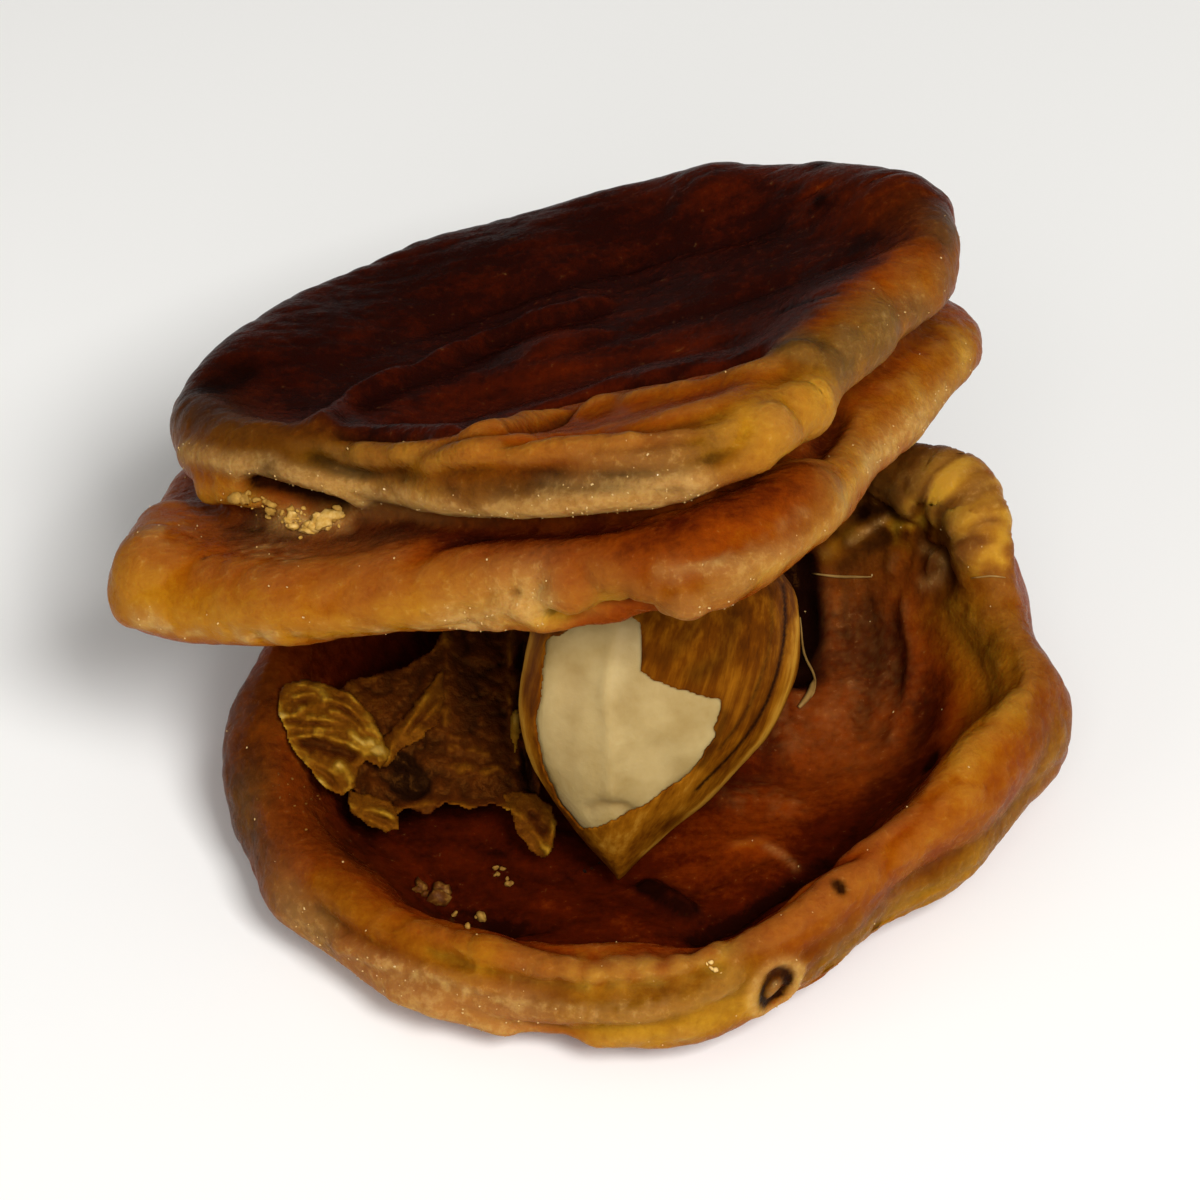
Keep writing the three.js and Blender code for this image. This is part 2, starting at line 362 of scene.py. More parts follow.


# Dried apricot flesh: sugary and leathery, so it glows amber where it is thin, partly by its subsurface light
# and partly by light painted into its amber layer, is dark and red where thick, has a satin gloss, and wears
# a pale sugar bloom in patches.
def fleshMaterial(name, look, grainTurn):
    made, tree = newMaterial(name)
    place = add(tree, "TexCoord").outputs["Object"]
    turned = add(tree, "Mapping", {"Vector": place, "Rotation": grainTurn}).outputs["Vector"]
    drawn = (1 / fleshLook["drawnOut"], 1, 1)
    stretched = add(tree, "Mapping", {"Vector": turned, "Scale": drawn}).outputs["Vector"]
    patterns = []
    for kind, vector in (("mottle", place), ("streak", stretched), ("grain", place)):
        size, detail, uneven = fleshLook[kind]
        settings = {"Vector": vector, "Scale": perMm(size), "Detail": detail, "Roughness": uneven}
        patterns.append(add(tree, "TexNoise", settings).outputs["Fac"])
    mottle, streak, grain = patterns
    layers = ("amber", "bloom", "shade", "wet", "olive")
    painted = [add(tree, "Attribute", attribute_name=layer).outputs["Fac"] for layer in layers]
    amber, bloom, shade, wet, olive = painted
    streaks = look["streaks"]
    tone = add(tree, "Math", {0: mottle, 1: 0.4, 2: amber}, operation="MULTIPLY_ADD")
    tone = add(tree, "Math", {0: streak, 1: streaks, 2: tone.outputs[0]}, operation="MULTIPLY_ADD")
    tone = add(tree, "Math", {0: grain, 1: 0.3, 2: tone.outputs[0]}, operation="MULTIPLY_ADD")
    tone = add(tree, "Math", {0: tone.outputs[0], 1: 0.35 + streaks / 2}, operation="SUBTRACT")
    red = add(tree, "ValToRGB", {0: tone.outputs[0]}, look["stops"]).outputs["Color"]
    green = add(tree, "ValToRGB", {0: tone.outputs[0]}, oliveStops).outputs["Color"]
    flesh = add(tree, "Mix", {0: olive, 6: red, 7: green}, data_type="RGBA").outputs[2]
    # the bloom is a thin film with grains on it
    dusty = add(tree, "Math", {0: streak, 1: grain}, operation="ADD")
    dusty = add(tree, "Math", {0: dusty.outputs[0], 1: 0.6, 2: 0.4}, operation="MULTIPLY_ADD")
    dusty = add(tree, "Math", {0: dusty.outputs[0], 1: bloom}, operation="MULTIPLY")
    dusty = add(tree, "MapRange", {"Value": dusty.outputs[0], "From Max": 1.1, "To Max": 0.8})
    film = add(tree, "Mix", {0: dusty.outputs[0], 6: flesh, 7: linear(fleshLook["film"])}, data_type="RGBA")
    grit = add(tree, "Math", {0: bloom, 1: 0.28, 2: grain}, operation="MULTIPLY_ADD")
    grit = add(tree, "MapRange", {"Value": grit.outputs[0], "From Min": 0.66, "From Max": 1.0, "To Max": 0.4})
    grains = linear(fleshLook["grains"])
    pale = add(tree, "Mix", {0: grit.outputs[0], 6: film.outputs[2], 7: grains}, data_type="RGBA").outputs[2]
    # the shade layer darkens it: dark stains, and painted shade in creases and hollows
    dark = add(tree, "Math", {0: mottle, 1: shade}, operation="MULTIPLY")
    dark = add(tree, "MapRange", {"Value": dark.outputs[0], "From Max": 0.5, "To Max": 0.95})
    colour = add(tree, "Mix", {0: dark.outputs[0], 6: pale, 7: linear(fleshLook["creaseShade"])}, data_type="RGBA")
    rough = add(tree, "Math", {0: dusty.outputs[0], 1: 0.3, 2: 0.16}, operation="MULTIPLY_ADD")
    rough = add(tree, "Math", {0: grain, 1: 0.2, 2: rough.outputs[0]}, operation="MULTIPLY_ADD")
    rough = add(tree, "Math", {0: wet, 1: -0.1, 2: rough.outputs[0]}, operation="MULTIPLY_ADD")
    height = add(tree, "Math", {0: streak, 1: streaks * 4, 2: grain}, operation="MULTIPLY_ADD").outputs[0]
    depth = add(tree, "Math", {0: wet, 1: -0.45, 2: 0.7}, operation="MULTIPLY_ADD").outputs[0]
    relief = fleshLook["relief"] / 1000
    bump = add(tree, "Bump", {"Height": height, "Strength": depth, "Distance": relief})
    shader = add(
        tree,
        "BsdfPrincipled",
        {
            "Base Color": colour.outputs[2],
            "Roughness": rough.outputs[0],
            "Normal": bump.outputs["Normal"],
            "Specular IOR Level": look["gloss"],
            "Specular Tint": linear(gloss["tint"]),
            "Subsurface Weight": look["subsurface"],
            "Subsurface Radius": (1.0, 0.3, 0.05),
            "Subsurface Scale": 0.0014,
        },
    )
    add(tree, "OutputMaterial", {"Surface": shader.outputs[0]})
    return made


# The lower half: a shallow bowl of flesh

lowerLook = dict(
    voxel=0.22,  # size of its small faces, mm
    lumps=(5.0, 0.2),  # size and depth of each kind of unevenness, mm
    folds=(2.2, 0.14),
    lines=(0.8, 0.06),
    grain=(0.7, 0.04),
    centre=(2.45, -3.25),  # middle of the bowl
    floorReach=13.5,  # the floor ends this far from it
    amber=0.37,  # how light the flesh is
    # the left side is made darker as painted shade
    innerDark=0.24, leftShade=0.1,  # how much darker it is inside and at the left
    gloss=0.02,
    streaks=0.16,
    subsurface=0.35,
    stops=(
        (0.0, "#200602"), (0.2, "#4a1202"), (0.4, "#7a2c03"),
        (0.6, "#8f4704"), (0.8, "#a3660b"), (1.0, "#b98722"),
    ),
)


def ring(middle, across, along, lean, steps=12):  # pixels of a leaning oval
    turn = math.radians(lean)
    made = []
    for step in range(steps + 1):
        angle = math.tau * step / steps
        x, y = across * math.cos(angle), along * math.sin(angle)
        right = x * math.cos(turn) - y * math.sin(turn)
        down = x * math.sin(turn) + y * math.cos(turn)
        made.append((middle[0] + right, middle[1] + down))
    return made


lowerHollows = [  # where the wall slopes gently into the rim
    dict(along=[(950, 345), (970, 350), (985, 352), (998, 350)], wide=2.4),
    dict(along=[(1000, 385), (1004, 410), (1005, 440), (995, 470)], wide=2.0),
    dict(along=[(955, 562), (985, 545), (1015, 521), (1040, 492)], wide=1.8),
]
lowerStrokes = [
    # the inner edge of the rim, with its shadow line
    dict(
        along=[
            (991, 488), (954, 522), (924, 533), (884, 558), (854, 573), (813, 580), (769, 577), (717, 560),
        ],
        wide=0.5, lift=-0.3, form="cut", amber=-0.12,
    ),
    dict(
        along=[(1000, 500), (954, 532), (900, 562), (850, 585), (790, 590), (730, 578)],
        wide=1.0, lift=0.25, amber=0.05,
    ),
    # folds along the front of the rim
    dict(
        along=[(655, 580), (717, 597), (769, 611), (824, 612), (865, 597)],
        wide=0.8, lift=0.4, form="fold", bloom=0.2, spread=0.3,
    ),
    dict(along=[(700, 612), (769, 624), (824, 625), (880, 610)], wide=1.3, amber=0.14),
    dict(
        along=[(688, 605), (739, 620), (791, 626), (840, 622)],
        wide=0.8, lift=0.4, form="fold", bloom=0.2, spread=0.3,
    ),
    dict(along=[(680, 588), (740, 603), (790, 609), (835, 605)], wide=0.35, bloom=0.45, patches=0.5),
    dict(
        along=[(650, 560), (700, 583), (760, 598), (830, 600), (875, 586)],
        wide=1.7, amber=0.06, olive=0.45,
    ),
    dict(along=[(690, 588), (750, 604), (800, 607), (850, 598)], wide=0.35, lift=-0.4, form="cut"),
    dict(along=[(700, 577), (760, 594), (820, 596), (860, 585)], wide=0.35, lift=-0.4, form="cut", amber=0.1),
    dict(
        along=[(690, 570), (740, 587), (800, 592), (860, 580)],
        wide=1.4, lift=0.3, form="crumple", size=1.0,
    ),
    dict(along=[(720, 612), (770, 620), (830, 619)], wide=0.35, lift=-0.4, form="cut", amber=0.1),
    dict(along=[(640, 560), (680, 580), (720, 588)], wide=0.3, lift=-0.3, form="cut"),
    dict(along=[(625, 545), (660, 572), (690, 584)], wide=0.3, lift=-0.25, form="cut"),
    dict(along=[(905, 612), (940, 590), (962, 570)], wide=3.2, lift=-1.0),
    dict(along=[(935, 560), (985, 535), (1030, 500), (1050, 465)], wide=0.6, lift=-0.15, form="cut"),
    dict(along=[(905, 570), (960, 545), (1005, 512), (1040, 470)], wide=1.3, lift=0.15),
    dict(
        along=[(740, 622), (800, 628), (870, 612), (940, 580), (1010, 530), (1055, 470)],
        wide=1.8, amber=0.12, olive=0.5,
    ),
    # gold-olive flesh, painted lighter where the outer rim faces down, as painted light
    dict(
        along=[(905, 614), (940, 590), (980, 560), (1020, 527), (1045, 500)],
        wide=1.5, amber=0.16, olive=0.3,
    ),
    dict(along=[(775, 616), (820, 620), (875, 608)], wide=1.2, amber=0.1, olive=0.4),
    dict(along=[(765, 601), (820, 603), (870, 592)], wide=1.2, amber=0.02, olive=0.2),
    dict(
        along=[(790, 588), (830, 588), (862, 578)],
        wide=0.9, lift=0.12, form="crumple", size=0.5, amber=0.18, bloom=0.15, olive=0.4, patches=0.8,
    ),
    dict(
        along=[(1032, 402), (1046, 435), (1050, 465), (1036, 497), (1008, 527), (968, 556), (930, 580)],
        wide=2.6, amber=0.05, olive=0.38,
    ),
    dict(along=[(1000, 395), (1018, 420), (1028, 450)], wide=1.6, amber=0.12, olive=0.35),
    # bloom on the outside, front left, under a clear lip
    dict(along=[(640, 548), (680, 572), (730, 588)], wide=1.2, bloom=-0.25, amber=0.12, olive=0.1),
    dict(along=[(630, 568), (660, 592), (700, 607), (745, 618)], wide=2.2, bloom=0.6),
    dict(along=[(600, 500), (610, 535), (640, 570)], wide=1.6, bloom=0.1, amber=-0.04, olive=0.5),
    dict(along=[(592, 440), (590, 490), (600, 530)], wide=2.8, lift=0.5, amber=-0.04, olive=0.6),
    # the shaded wall left of the lining
    dict(along=[(622, 440), (620, 470), (632, 505), (658, 532)], wide=2.4, amber=-0.05, shade=0.1, olive=0.3),
    # crumpled lumps at the back right
    dict(along=[(945, 335), (975, 325), (1005, 340)], wide=4.5, amber=-0.04, olive=0.85, wet=0.6),
    dict(along=[(972, 320), (990, 320), (1005, 328), (1012, 345), (1014, 358)], wide=1.9, lift=1.2),
    dict(along=[(1000, 324), (1009, 334)], wide=1.4, lift=0.5),
    *[
        dict(along=[(945, 345), (985, 340), (1012, 347)], wide=3.4, lift=0.2, form="crumple", size=size)
        for size in (1.3, 0.8)
    ],
    dict(along=[(974, 343), (984, 336), (998, 331)], wide=1.1, lift=0.3, amber=0.5, patches=0.7),
    dict(along=[(1004, 318), (1015, 330), (1018, 345), (1019, 362)], wide=1.1, amber=0.5, patches=0.7),
    dict(along=[(985, 318), (1008, 330), (1014, 352)], wide=1.6, bloom=0.12, amber=0.1, patches=0.5),
    dict(along=[(968, 306), (984, 306), (1000, 312)], wide=1.0, shade=0.3, amber=-0.1),
    dict(along=[(1003, 342), (1005, 356), (1003, 372)], wide=0.6, lift=-0.15, shade=0.3, amber=-0.1),
    dict(along=[(967, 318), (968, 332), (970, 348)], wide=0.35, lift=-0.2, form="cut", shade=0.4),
    dict(along=[(926, 335), (945, 325), (962, 325)], wide=2.2, shade=0.4, patches=0.8),
    dict(along=[(930, 361), (938, 352), (947, 348)], wide=0.5, lift=0.3, amber=0.3),
    dict(along=[(944, 353), (955, 346), (966, 338)], wide=0.18, lift=0.2, bloom=0.7),
    dict(along=[(936, 350), (950, 340), (964, 332)], wide=0.35, lift=-0.2, form="cut", shade=0.3),
    dict(along=[(936, 368), (950, 358), (964, 352)], wide=0.35, lift=-0.2, form="cut", shade=0.3),
    dict(along=[(984, 358), (994, 362), (999, 366)], wide=0.25, lift=0.12, bloom=0.4),
    dict(along=[(984, 378), (993, 375), (999, 367)], wide=0.4, lift=0.15, bloom=0.4),
    dict(along=[(982, 366), (990, 370)], wide=0.5, shade=0.2),
    dict(along=[(1045, 374), (1028, 373), (1005, 377), (990, 384)], wide=0.6, lift=-0.15, form="cut"),
    # painted shade in the hollow beside the kernel, and the smooth panel right of it
    dict(along=[(912, 368), (914, 395), (911, 430)], wide=1.0, lift=-0.5, shade=1.6, amber=-0.3),
    dict(along=[(945, 390), (948, 425), (938, 470)], wide=3.4, bloom=0.05, amber=0.14, olive=0.05),
    dict(along=[(935, 400), (960, 430), (945, 465)], wide=2.6, bloom=0.1, patches=0.3),
    dict(along=[(930, 385), (932, 420), (925, 455)], wide=0.5, lift=0.25),
    dict(along=[(952, 388), (955, 425), (945, 465)], wide=0.4, lift=-0.2, form="cut"),
    dict(along=[(975, 392), (978, 430), (965, 470)], wide=0.5, lift=0.25, amber=-0.05),
    dict(along=[(1002, 390), (1008, 420), (1006, 450), (990, 482)], wide=1.4, amber=0.1),
    dict(along=[(990, 395), (1015, 430), (1005, 480)], wide=2.0, amber=0.08, olive=0.1),
    dict(along=[(1020, 440), (1005, 480), (965, 515)], wide=2.2, amber=0.1),
    dict(along=[(1056, 440), (1054, 465)], wide=2.6, lift=0.3),
    # the wet floor in front of the kernel
    dict(along=[(860, 535), (890, 515), (930, 490), (960, 470)], wide=3.0, amber=0.2),
    dict(along=[(874, 528), (890, 528), (907, 539)], wide=0.6, lift=0.2, form="fold", amber=0.1, spread=0.3),
    dict(along=[(890, 528), (898, 532), (906, 538)], wide=0.2, bloom=0.35),
    dict(along=[(824, 550), (834, 556), (844, 561)], wide=0.6, lift=0.5, shade=3.0),
    dict(along=[(880, 470), (895, 455), (905, 470)], wide=0.9, lift=0.3, bloom=0.15, patches=0.4),
    dict(along=[(905, 445), (925, 455), (940, 440)], wide=0.8, lift=0.3, bloom=0.15, patches=0.4),
    dict(along=[(876, 502), (890, 498), (900, 506)], wide=1.0, lift=0.3, bloom=0.15, patches=0.4),
    # small dark dots on the rim
    dict(along=[(925, 545)], wide=0.26, lift=-0.25, shade=3.0),
    dict(along=[(983, 481), (986, 476)], wide=0.35, lift=-0.2, shade=1.6),
    dict(along=[(1047, 497)], wide=0.3, shade=1.5),
    dict(along=[(1020, 415)], wide=0.8, shade=0.5),
    # the round scar on the front right, with its pale ring
    dict(along=ring((893, 600), 13, 17, 25), wide=0.35, lift=0.2, bloom=0.9, amber=0.25),
    dict(along=ring((893, 600), 7, 11, 25), wide=0.3, lift=-0.15, shade=1.4, bloom=-0.6),
    dict(
        along=[(889, 607), (893, 600), (897, 593)],
        wide=0.5, lift=0.12, shade=0.35, bloom=0.9, amber=-0.2, patches=0.3,
    ),
    dict(along=[(889, 607), (893, 600), (897, 593)], wide=0.6, lift=0.2, form="crumple", size=0.5),
]


def lowerHalf():
    look = lowerLook
    piece = fineCopy("lower_half_flesh", "lower_half", rounding=2, voxel=look["voxel"], smoothing=8)
    points, normals = readPoints(piece)
    flat = points[:, :2] - look["centre"]
    reach = np.hypot(*flat.T)
    # wrinkles run along the rim, so the field is squeezed across it and drawn out round it
    wrapped = np.column_stack([flat / reach[:, None] * 4.2, reach * 0.55 + points[:, 2] * 0.9])
    shift = look["lumps"][1] * roughness(points, look["lumps"][0])
    shift -= look["folds"][1] * (1 - ridges(wrapped, look["folds"][0], 7.0)) ** 2
    shift -= look["lines"][1] * (1 - ridges(wrapped, look["lines"][0], 2.0)) ** 2
    shift += look["grain"][1] * roughness(points, look["grain"][0], 3.0)
    settled = smoothStep(points[:, 2], 0.3, 2.5)
    points += normals * (shift * settled)[:, None]
    points[:, 2] = np.maximum(points[:, 2], 0)
    writePoints(piece, points)
    outward = (normals[:, :2] * flat).sum(1) / reach
    bottom = smoothStep(normals[:, 2], 0.75, 0.98) * (reach < look["floorReach"])
    inside = smoothStep(-outward, -0.1, 0.5) + bottom
    rim = smoothStep(points[:, 2] / (0.4 * (14 + flat[:, 1] * 0.25)), 0.55, 1.0)
    wet = np.clip(inside, 0, 1) * (1 - rim)
    # darker inside, and darker towards the left as painted shade
    amber = look["amber"] - look["innerDark"] * wet - look["leftShade"] * smoothStep(-flat[:, 0], 8, 18)
    paint = {name: np.zeros(len(points)) for name in ("bloom", "shade", "olive")}
    paint.update(amber=amber, wet=wet)
    fillHollows(piece, lowerHollows, rounds=300)
    workStrokes(piece, lowerStrokes, paint)
    sharpen(piece, rounds=60, amount=0.6)
    sugarLightAndShade(piece, paint)
    writePaint(piece, paint)
    return piece, paint


# The upper half: two pressed folds, dark on top from its browner skin and from painted shade

upperLook = dict(
    voxel=0.23,
    centre=(-2.75, 4.75, 19.4),  # middle of the crease between its folds
    rightEnd=16.5, drawIn=0.45,  # beyond this the top fold is drawn in by that part
    pitch=16, roll=14,  # how the half leans, degrees
    amber=0.38, foldLight=0.06,  # how light the flesh is, and how much lighter the upper fold
    # topDark is partly the skin's own brown and partly painted shade on the top
    topDark=0.44, underDark=0.12, backDark=0.15,  # how much darker it is in these places
    gloss=0.015,
    streaks=0.2,
    subsurface=0.3,
    lumps=(6.0, 0.2),
    folds=(1.9, 0.07),
    lines=(0.8, 0.035),
    grain=(0.7, 0.04),
    # pixels along the front lip, where the dark top ends
    darkEdge=[
        (556, 276), (603, 287), (653, 300), (688, 301), (717, 298), (747, 288), (776, 278),
        (806, 269), (836, 265), (865, 258), (902, 246), (930, 228), (955, 205), (985, 190),
    ],
    stops=(
        (0.0, "#230804"), (0.2, "#4a1303"), (0.4, "#7e3203"),
        (0.6, "#904904"), (0.8, "#a5690b"), (1.0, "#bd8a22"),
    ),
)

upperStrokes = [
    # broad shapes: the back of the top stands a little higher, the lower fold is plump
    dict(along=[(610, 242), (690, 200), (790, 170)], wide=6.0, lift=0.8),
    dict(along=[(870, 155), (920, 155), (965, 160)], wide=3.0, lift=1.2),
    dict(along=[(970, 168), (980, 178)], wide=1.8, lift=0.4),
    dict(along=[(546, 372), (552, 350)], wide=2.2, lift=1.3),
    dict(along=[(560, 370), (620, 380), (700, 376), (780, 371), (850, 352), (905, 330)], wide=1.9, lift=0.8),
    # the leaf-shaped dish on top: its upper edge, its lower edge, and the second lip below
    dict(along=[(690, 285), (740, 270), (800, 254), (870, 240)], wide=2.0, lift=-0.8, amber=0.15, spread=2.6),
    dict(
        along=[(650, 292), (662, 279), (684, 268), (717, 253), (747, 238), (790, 224)],
        wide=1.1, lift=0.7, form="fold", shade=0.2,
    ),
    dict(
        along=[
            (655, 298), (688, 301), (717, 298), (747, 288), (776, 278), (806, 269), (836, 265), (865, 259),
            (880, 255),
        ],
        wide=0.4, lift=-0.7, form="cut", shade=0.4, spread=0.3,
    ),
    dict(
        along=[(668, 308), (700, 309), (740, 298), (790, 285), (850, 274), (900, 261)],
        wide=0.8, lift=0.45, amber=0.05, olive=0.3,
    ),
    dict(
        along=[(641, 311), (658, 319), (684, 318), (710, 307), (732, 301), (762, 295), (791, 282)],
        wide=0.3, lift=-0.9, form="cut", amber=-0.15, shade=0.2,
    ),
    # wrinkles along the front roll
    dict(
        along=[(672, 328), (695, 322), (732, 318), (776, 319), (828, 321), (854, 314)],
        wide=0.4, lift=-0.5, form="cut", shade=0.1,
    ),
    dict(along=[(725, 336), (791, 330), (836, 332)], wide=0.4, lift=-0.4, form="cut", shade=0.1),
    dict(along=[(745, 306), (791, 300), (817, 297), (861, 290)], wide=0.4, lift=-0.45, form="cut", shade=0.1),
    dict(along=[(765, 313), (800, 309), (850, 304)], wide=0.2, lift=-0.3, form="cut"),
    dict(along=[(700, 331), (740, 327), (780, 326)], wide=0.2, lift=-0.3, form="cut"),
    dict(along=[(690, 314), (750, 311), (810, 304)], wide=0.6, lift=0.25, amber=0.1),
    dict(along=[(720, 329), (780, 325), (835, 326)], wide=1.2, amber=-0.16, shade=0.1),
    dict(along=[(655, 328), (700, 338), (740, 342), (800, 340), (843, 330)], wide=1.0, bloom=1.1, amber=0.2),
    dict(along=[(770, 332), (800, 328), (835, 325)], wide=0.8, bloom=0.5),
    dict(along=[(790, 312), (830, 309)], wide=1.0, bloom=0.2),
    # the golden bulge at the right of the roll and the notch under it
    dict(along=[(878, 302), (892, 292), (908, 288)], wide=1.5, lift=0.7, amber=0.22, spread=1.7),
    dict(along=[(884, 296)], wide=0.55, lift=0.35, bloom=0.2),
    dict(along=[(897, 284), (906, 279)], wide=0.5, lift=0.35, amber=0.1),
    dict(along=[(893, 305), (905, 297)], wide=0.5, lift=0.3, bloom=0.15),
    dict(along=[(889, 289), (900, 294)], wide=0.2, lift=-0.4, form="cut"),
    dict(along=[(926, 283), (918, 300), (910, 309)], wide=0.5, lift=-0.7, form="cut", amber=-0.15),
    dict(along=[(858, 318), (868, 308), (872, 300)], wide=0.4, lift=-0.5, form="cut"),
    dict(along=[(868, 266), (890, 258), (905, 258)], wide=1.1, amber=-0.15, shade=0.15, olive=0.5),
    dict(along=[(912, 262), (926, 252), (945, 238)], wide=1.5, lift=0.7, olive=0.6),
    dict(
        along=[(915, 258), (945, 248), (985, 215), (995, 195)],
        wide=1.9, bloom=0.3, shade=0.2, amber=-0.1, patches=1.6,
    ),
    # the left lobe: frosted edge over a crevice, with painted shade in it
    dict(along=[(566, 305), (591, 312), (617, 315), (639, 322), (665, 335)], wide=0.45, bloom=0.8, lift=0.25),
    dict(along=[(563, 285), (600, 297), (625, 305)], wide=1.8, lift=0.25, shade=0.25, amber=-0.05),
    dict(along=[(608, 325), (630, 330), (650, 333)], wide=0.55, lift=-1.0, shade=1.3),
    dict(along=[(578, 270), (590, 262)], wide=1.0, lift=-0.3, shade=0.7),
    dict(along=[(580, 328), (604, 331)], wide=0.7, lift=0.4, amber=0.25),
    dict(along=[(606, 338), (630, 344), (656, 344)], wide=0.6, bloom=0.5, patches=0.6),
    dict(
        along=[(620, 341), (636, 345), (653, 343)],
        wide=0.6, lift=0.35, form="crumple", size=0.4, bloom=0.6, amber=0.4,
    ),
    dict(along=[(620, 341), (636, 345), (653, 343)], wide=0.5, lift=0.35),
    dict(along=[(618, 316)], wide=0.5, bloom=0.5, shade=0.5),
    # darker marks on top: small stains, a broad darkening towards the back left that is partly painted shade,
    # and slits with painted shade in them
    dict(along=[(892, 226), (924, 222)], wide=0.25, lift=-0.25, form="cut", shade=0.9, spread=0.25),
    dict(along=[(928, 148)], wide=0.5, shade=1.0),
    dict(along=[(926, 168)], wide=0.5, shade=1.0),
    dict(along=[(941, 190), (950, 186)], wide=0.7, shade=0.8),
    dict(along=[(884, 186), (900, 180)], wide=0.6, shade=0.6),
    dict(along=[(590, 262), (680, 205), (780, 170)], wide=4.0, shade=0.4),
    dict(along=[(700, 235), (800, 200), (900, 175)], wide=0.5, lift=-0.2, form="cut"),
    dict(along=[(640, 262), (720, 225), (820, 195)], wide=0.5, lift=-0.15, form="cut"),
    dict(along=[(760, 250), (850, 225), (940, 195)], wide=0.5, lift=-0.2, form="cut"),
    # brown and clearer towards the right end
    dict(along=[(905, 160), (935, 185), (925, 215)], wide=4.0, amber=0.04),
    dict(along=[(945, 160), (965, 185), (955, 215)], wide=3.0, amber=0.05, olive=0.1),
    dict(along=[(978, 175), (990, 200), (980, 230)], wide=2.4, amber=-0.02, olive=0.3),
    # olive-brown where the skin side shows
    dict(along=[(655, 322), (700, 330), (760, 332), (810, 326), (850, 312)], wide=1.9, olive=0.8),
    dict(along=[(563, 285), (600, 300), (640, 314)], wide=2.3, olive=0.8),
    dict(along=[(870, 300), (900, 285), (930, 262), (965, 240)], wide=2.0, olive=0.5),
    # the lower fold: red in the crease, gold along its bottom edge
    dict(along=[(600, 345), (680, 352), (760, 358), (840, 352), (900, 325)], wide=1.2, amber=-0.16),
    dict(along=[(820, 368), (870, 355), (905, 335)], wide=1.8, amber=-0.1),
    dict(along=[(700, 372), (728, 357), (780, 353), (840, 352)], wide=0.5, lift=-0.2, form="cut", amber=-0.1),
    dict(
        along=[(540, 385), (580, 398), (640, 404), (700, 396), (760, 392)],
        wide=1.5, amber=0.28, olive=0.35,
    ),
    dict(along=[(560, 345), (620, 358), (680, 362)], wide=1.6, bloom=0.12),
    # the frosted patch and the torn edge over the kernel
    dict(along=[(722, 400), (745, 392), (766, 388)], wide=1.1, lift=0.3, form="crumple", size=0.8, bloom=1.0),
    dict(along=[(720, 404), (732, 394), (740, 386)], wide=0.2, lift=-0.3, form="cut"),
    dict(along=[(733, 403), (745, 393), (753, 384)], wide=0.2, lift=-0.3, form="cut"),
    dict(along=[(747, 401), (757, 392), (766, 382)], wide=0.2, lift=-0.3, form="cut"),
    dict(along=[(725, 392), (748, 383), (770, 380)], wide=0.4, lift=-0.5, form="cut"),
    dict(
        along=[(770, 398), (784, 399), (800, 392)],
        wide=0.5, lift=-0.9, form="cut", amber=0.4, olive=0.5, spread=0.9,
    ),
    dict(along=[(745, 396), (790, 392), (850, 388)], wide=1.6, lift=0.3, form="crumple", size=1.1),
    dict(along=[(785, 401), (800, 398), (814, 397)], wide=1.1, lift=-1.0),
    dict(along=[(800, 395), (807, 393), (814, 395)], wide=0.9, lift=-0.9, around=True),
    dict(along=[(776, 402), (790, 399), (804, 395)], wide=0.6, amber=0.3, olive=0.4, around=True),
    dict(along=[(812, 396), (840, 391), (868, 378)], wide=0.6, bloom=0.3, lift=0.15),
    dict(along=[(830, 374), (865, 370), (895, 358)], wide=0.35, lift=0.2, bloom=0.35),
    dict(along=[(880, 372), (905, 356), (930, 326), (956, 300)], wide=0.45, bloom=0.4, amber=0.25),
    dict(along=[(940, 312), (965, 293), (988, 274)], wide=0.8, bloom=0.6),
    dict(
        along=[(850, 393), (880, 383), (906, 370), (925, 350), (938, 334), (964, 304), (988, 284)],
        wide=0.3, bloom=0.8, amber=0.3, around=True,
    ),
    dict(along=[(800, 386), (850, 383), (890, 367), (920, 338)], wide=1.2, amber=0.12, olive=0.45),
    dict(along=[(835, 376), (870, 364), (900, 344)], wide=0.25, bloom=0.35, patches=0.6),
    dict(
        along=[(975, 285), (1000, 262), (1010, 245)],
        wide=1.8, bloom=0.3, amber=0.16, olive=0.4, patches=1.4,
    ),
    dict(along=[(918, 326), (950, 294), (1000, 245)], wide=2.0, amber=0.16, olive=0.3),
    # its thin, sugared bottom edge
    dict(
        along=[(548, 398), (575, 404), (610, 406), (650, 405), (690, 402), (725, 399)],
        wide=0.5, lift=0.25, form="crumple", size=0.6, bloom=0.9, patches=0.9,
    ),
    dict(along=[(545, 365), (565, 362)], wide=1.0, bloom=0.35, patches=0.5),
    dict(along=[(610, 362), (630, 370)], wide=1.0, bloom=0.45, patches=0.5),
]


def upperTurn():
    pitch = Matrix.Rotation(math.radians(-upperLook["pitch"]), 3, "X")
    roll = Matrix.Rotation(math.radians(-upperLook["roll"]), 3, "Y")
    return np.array(roll @ pitch)


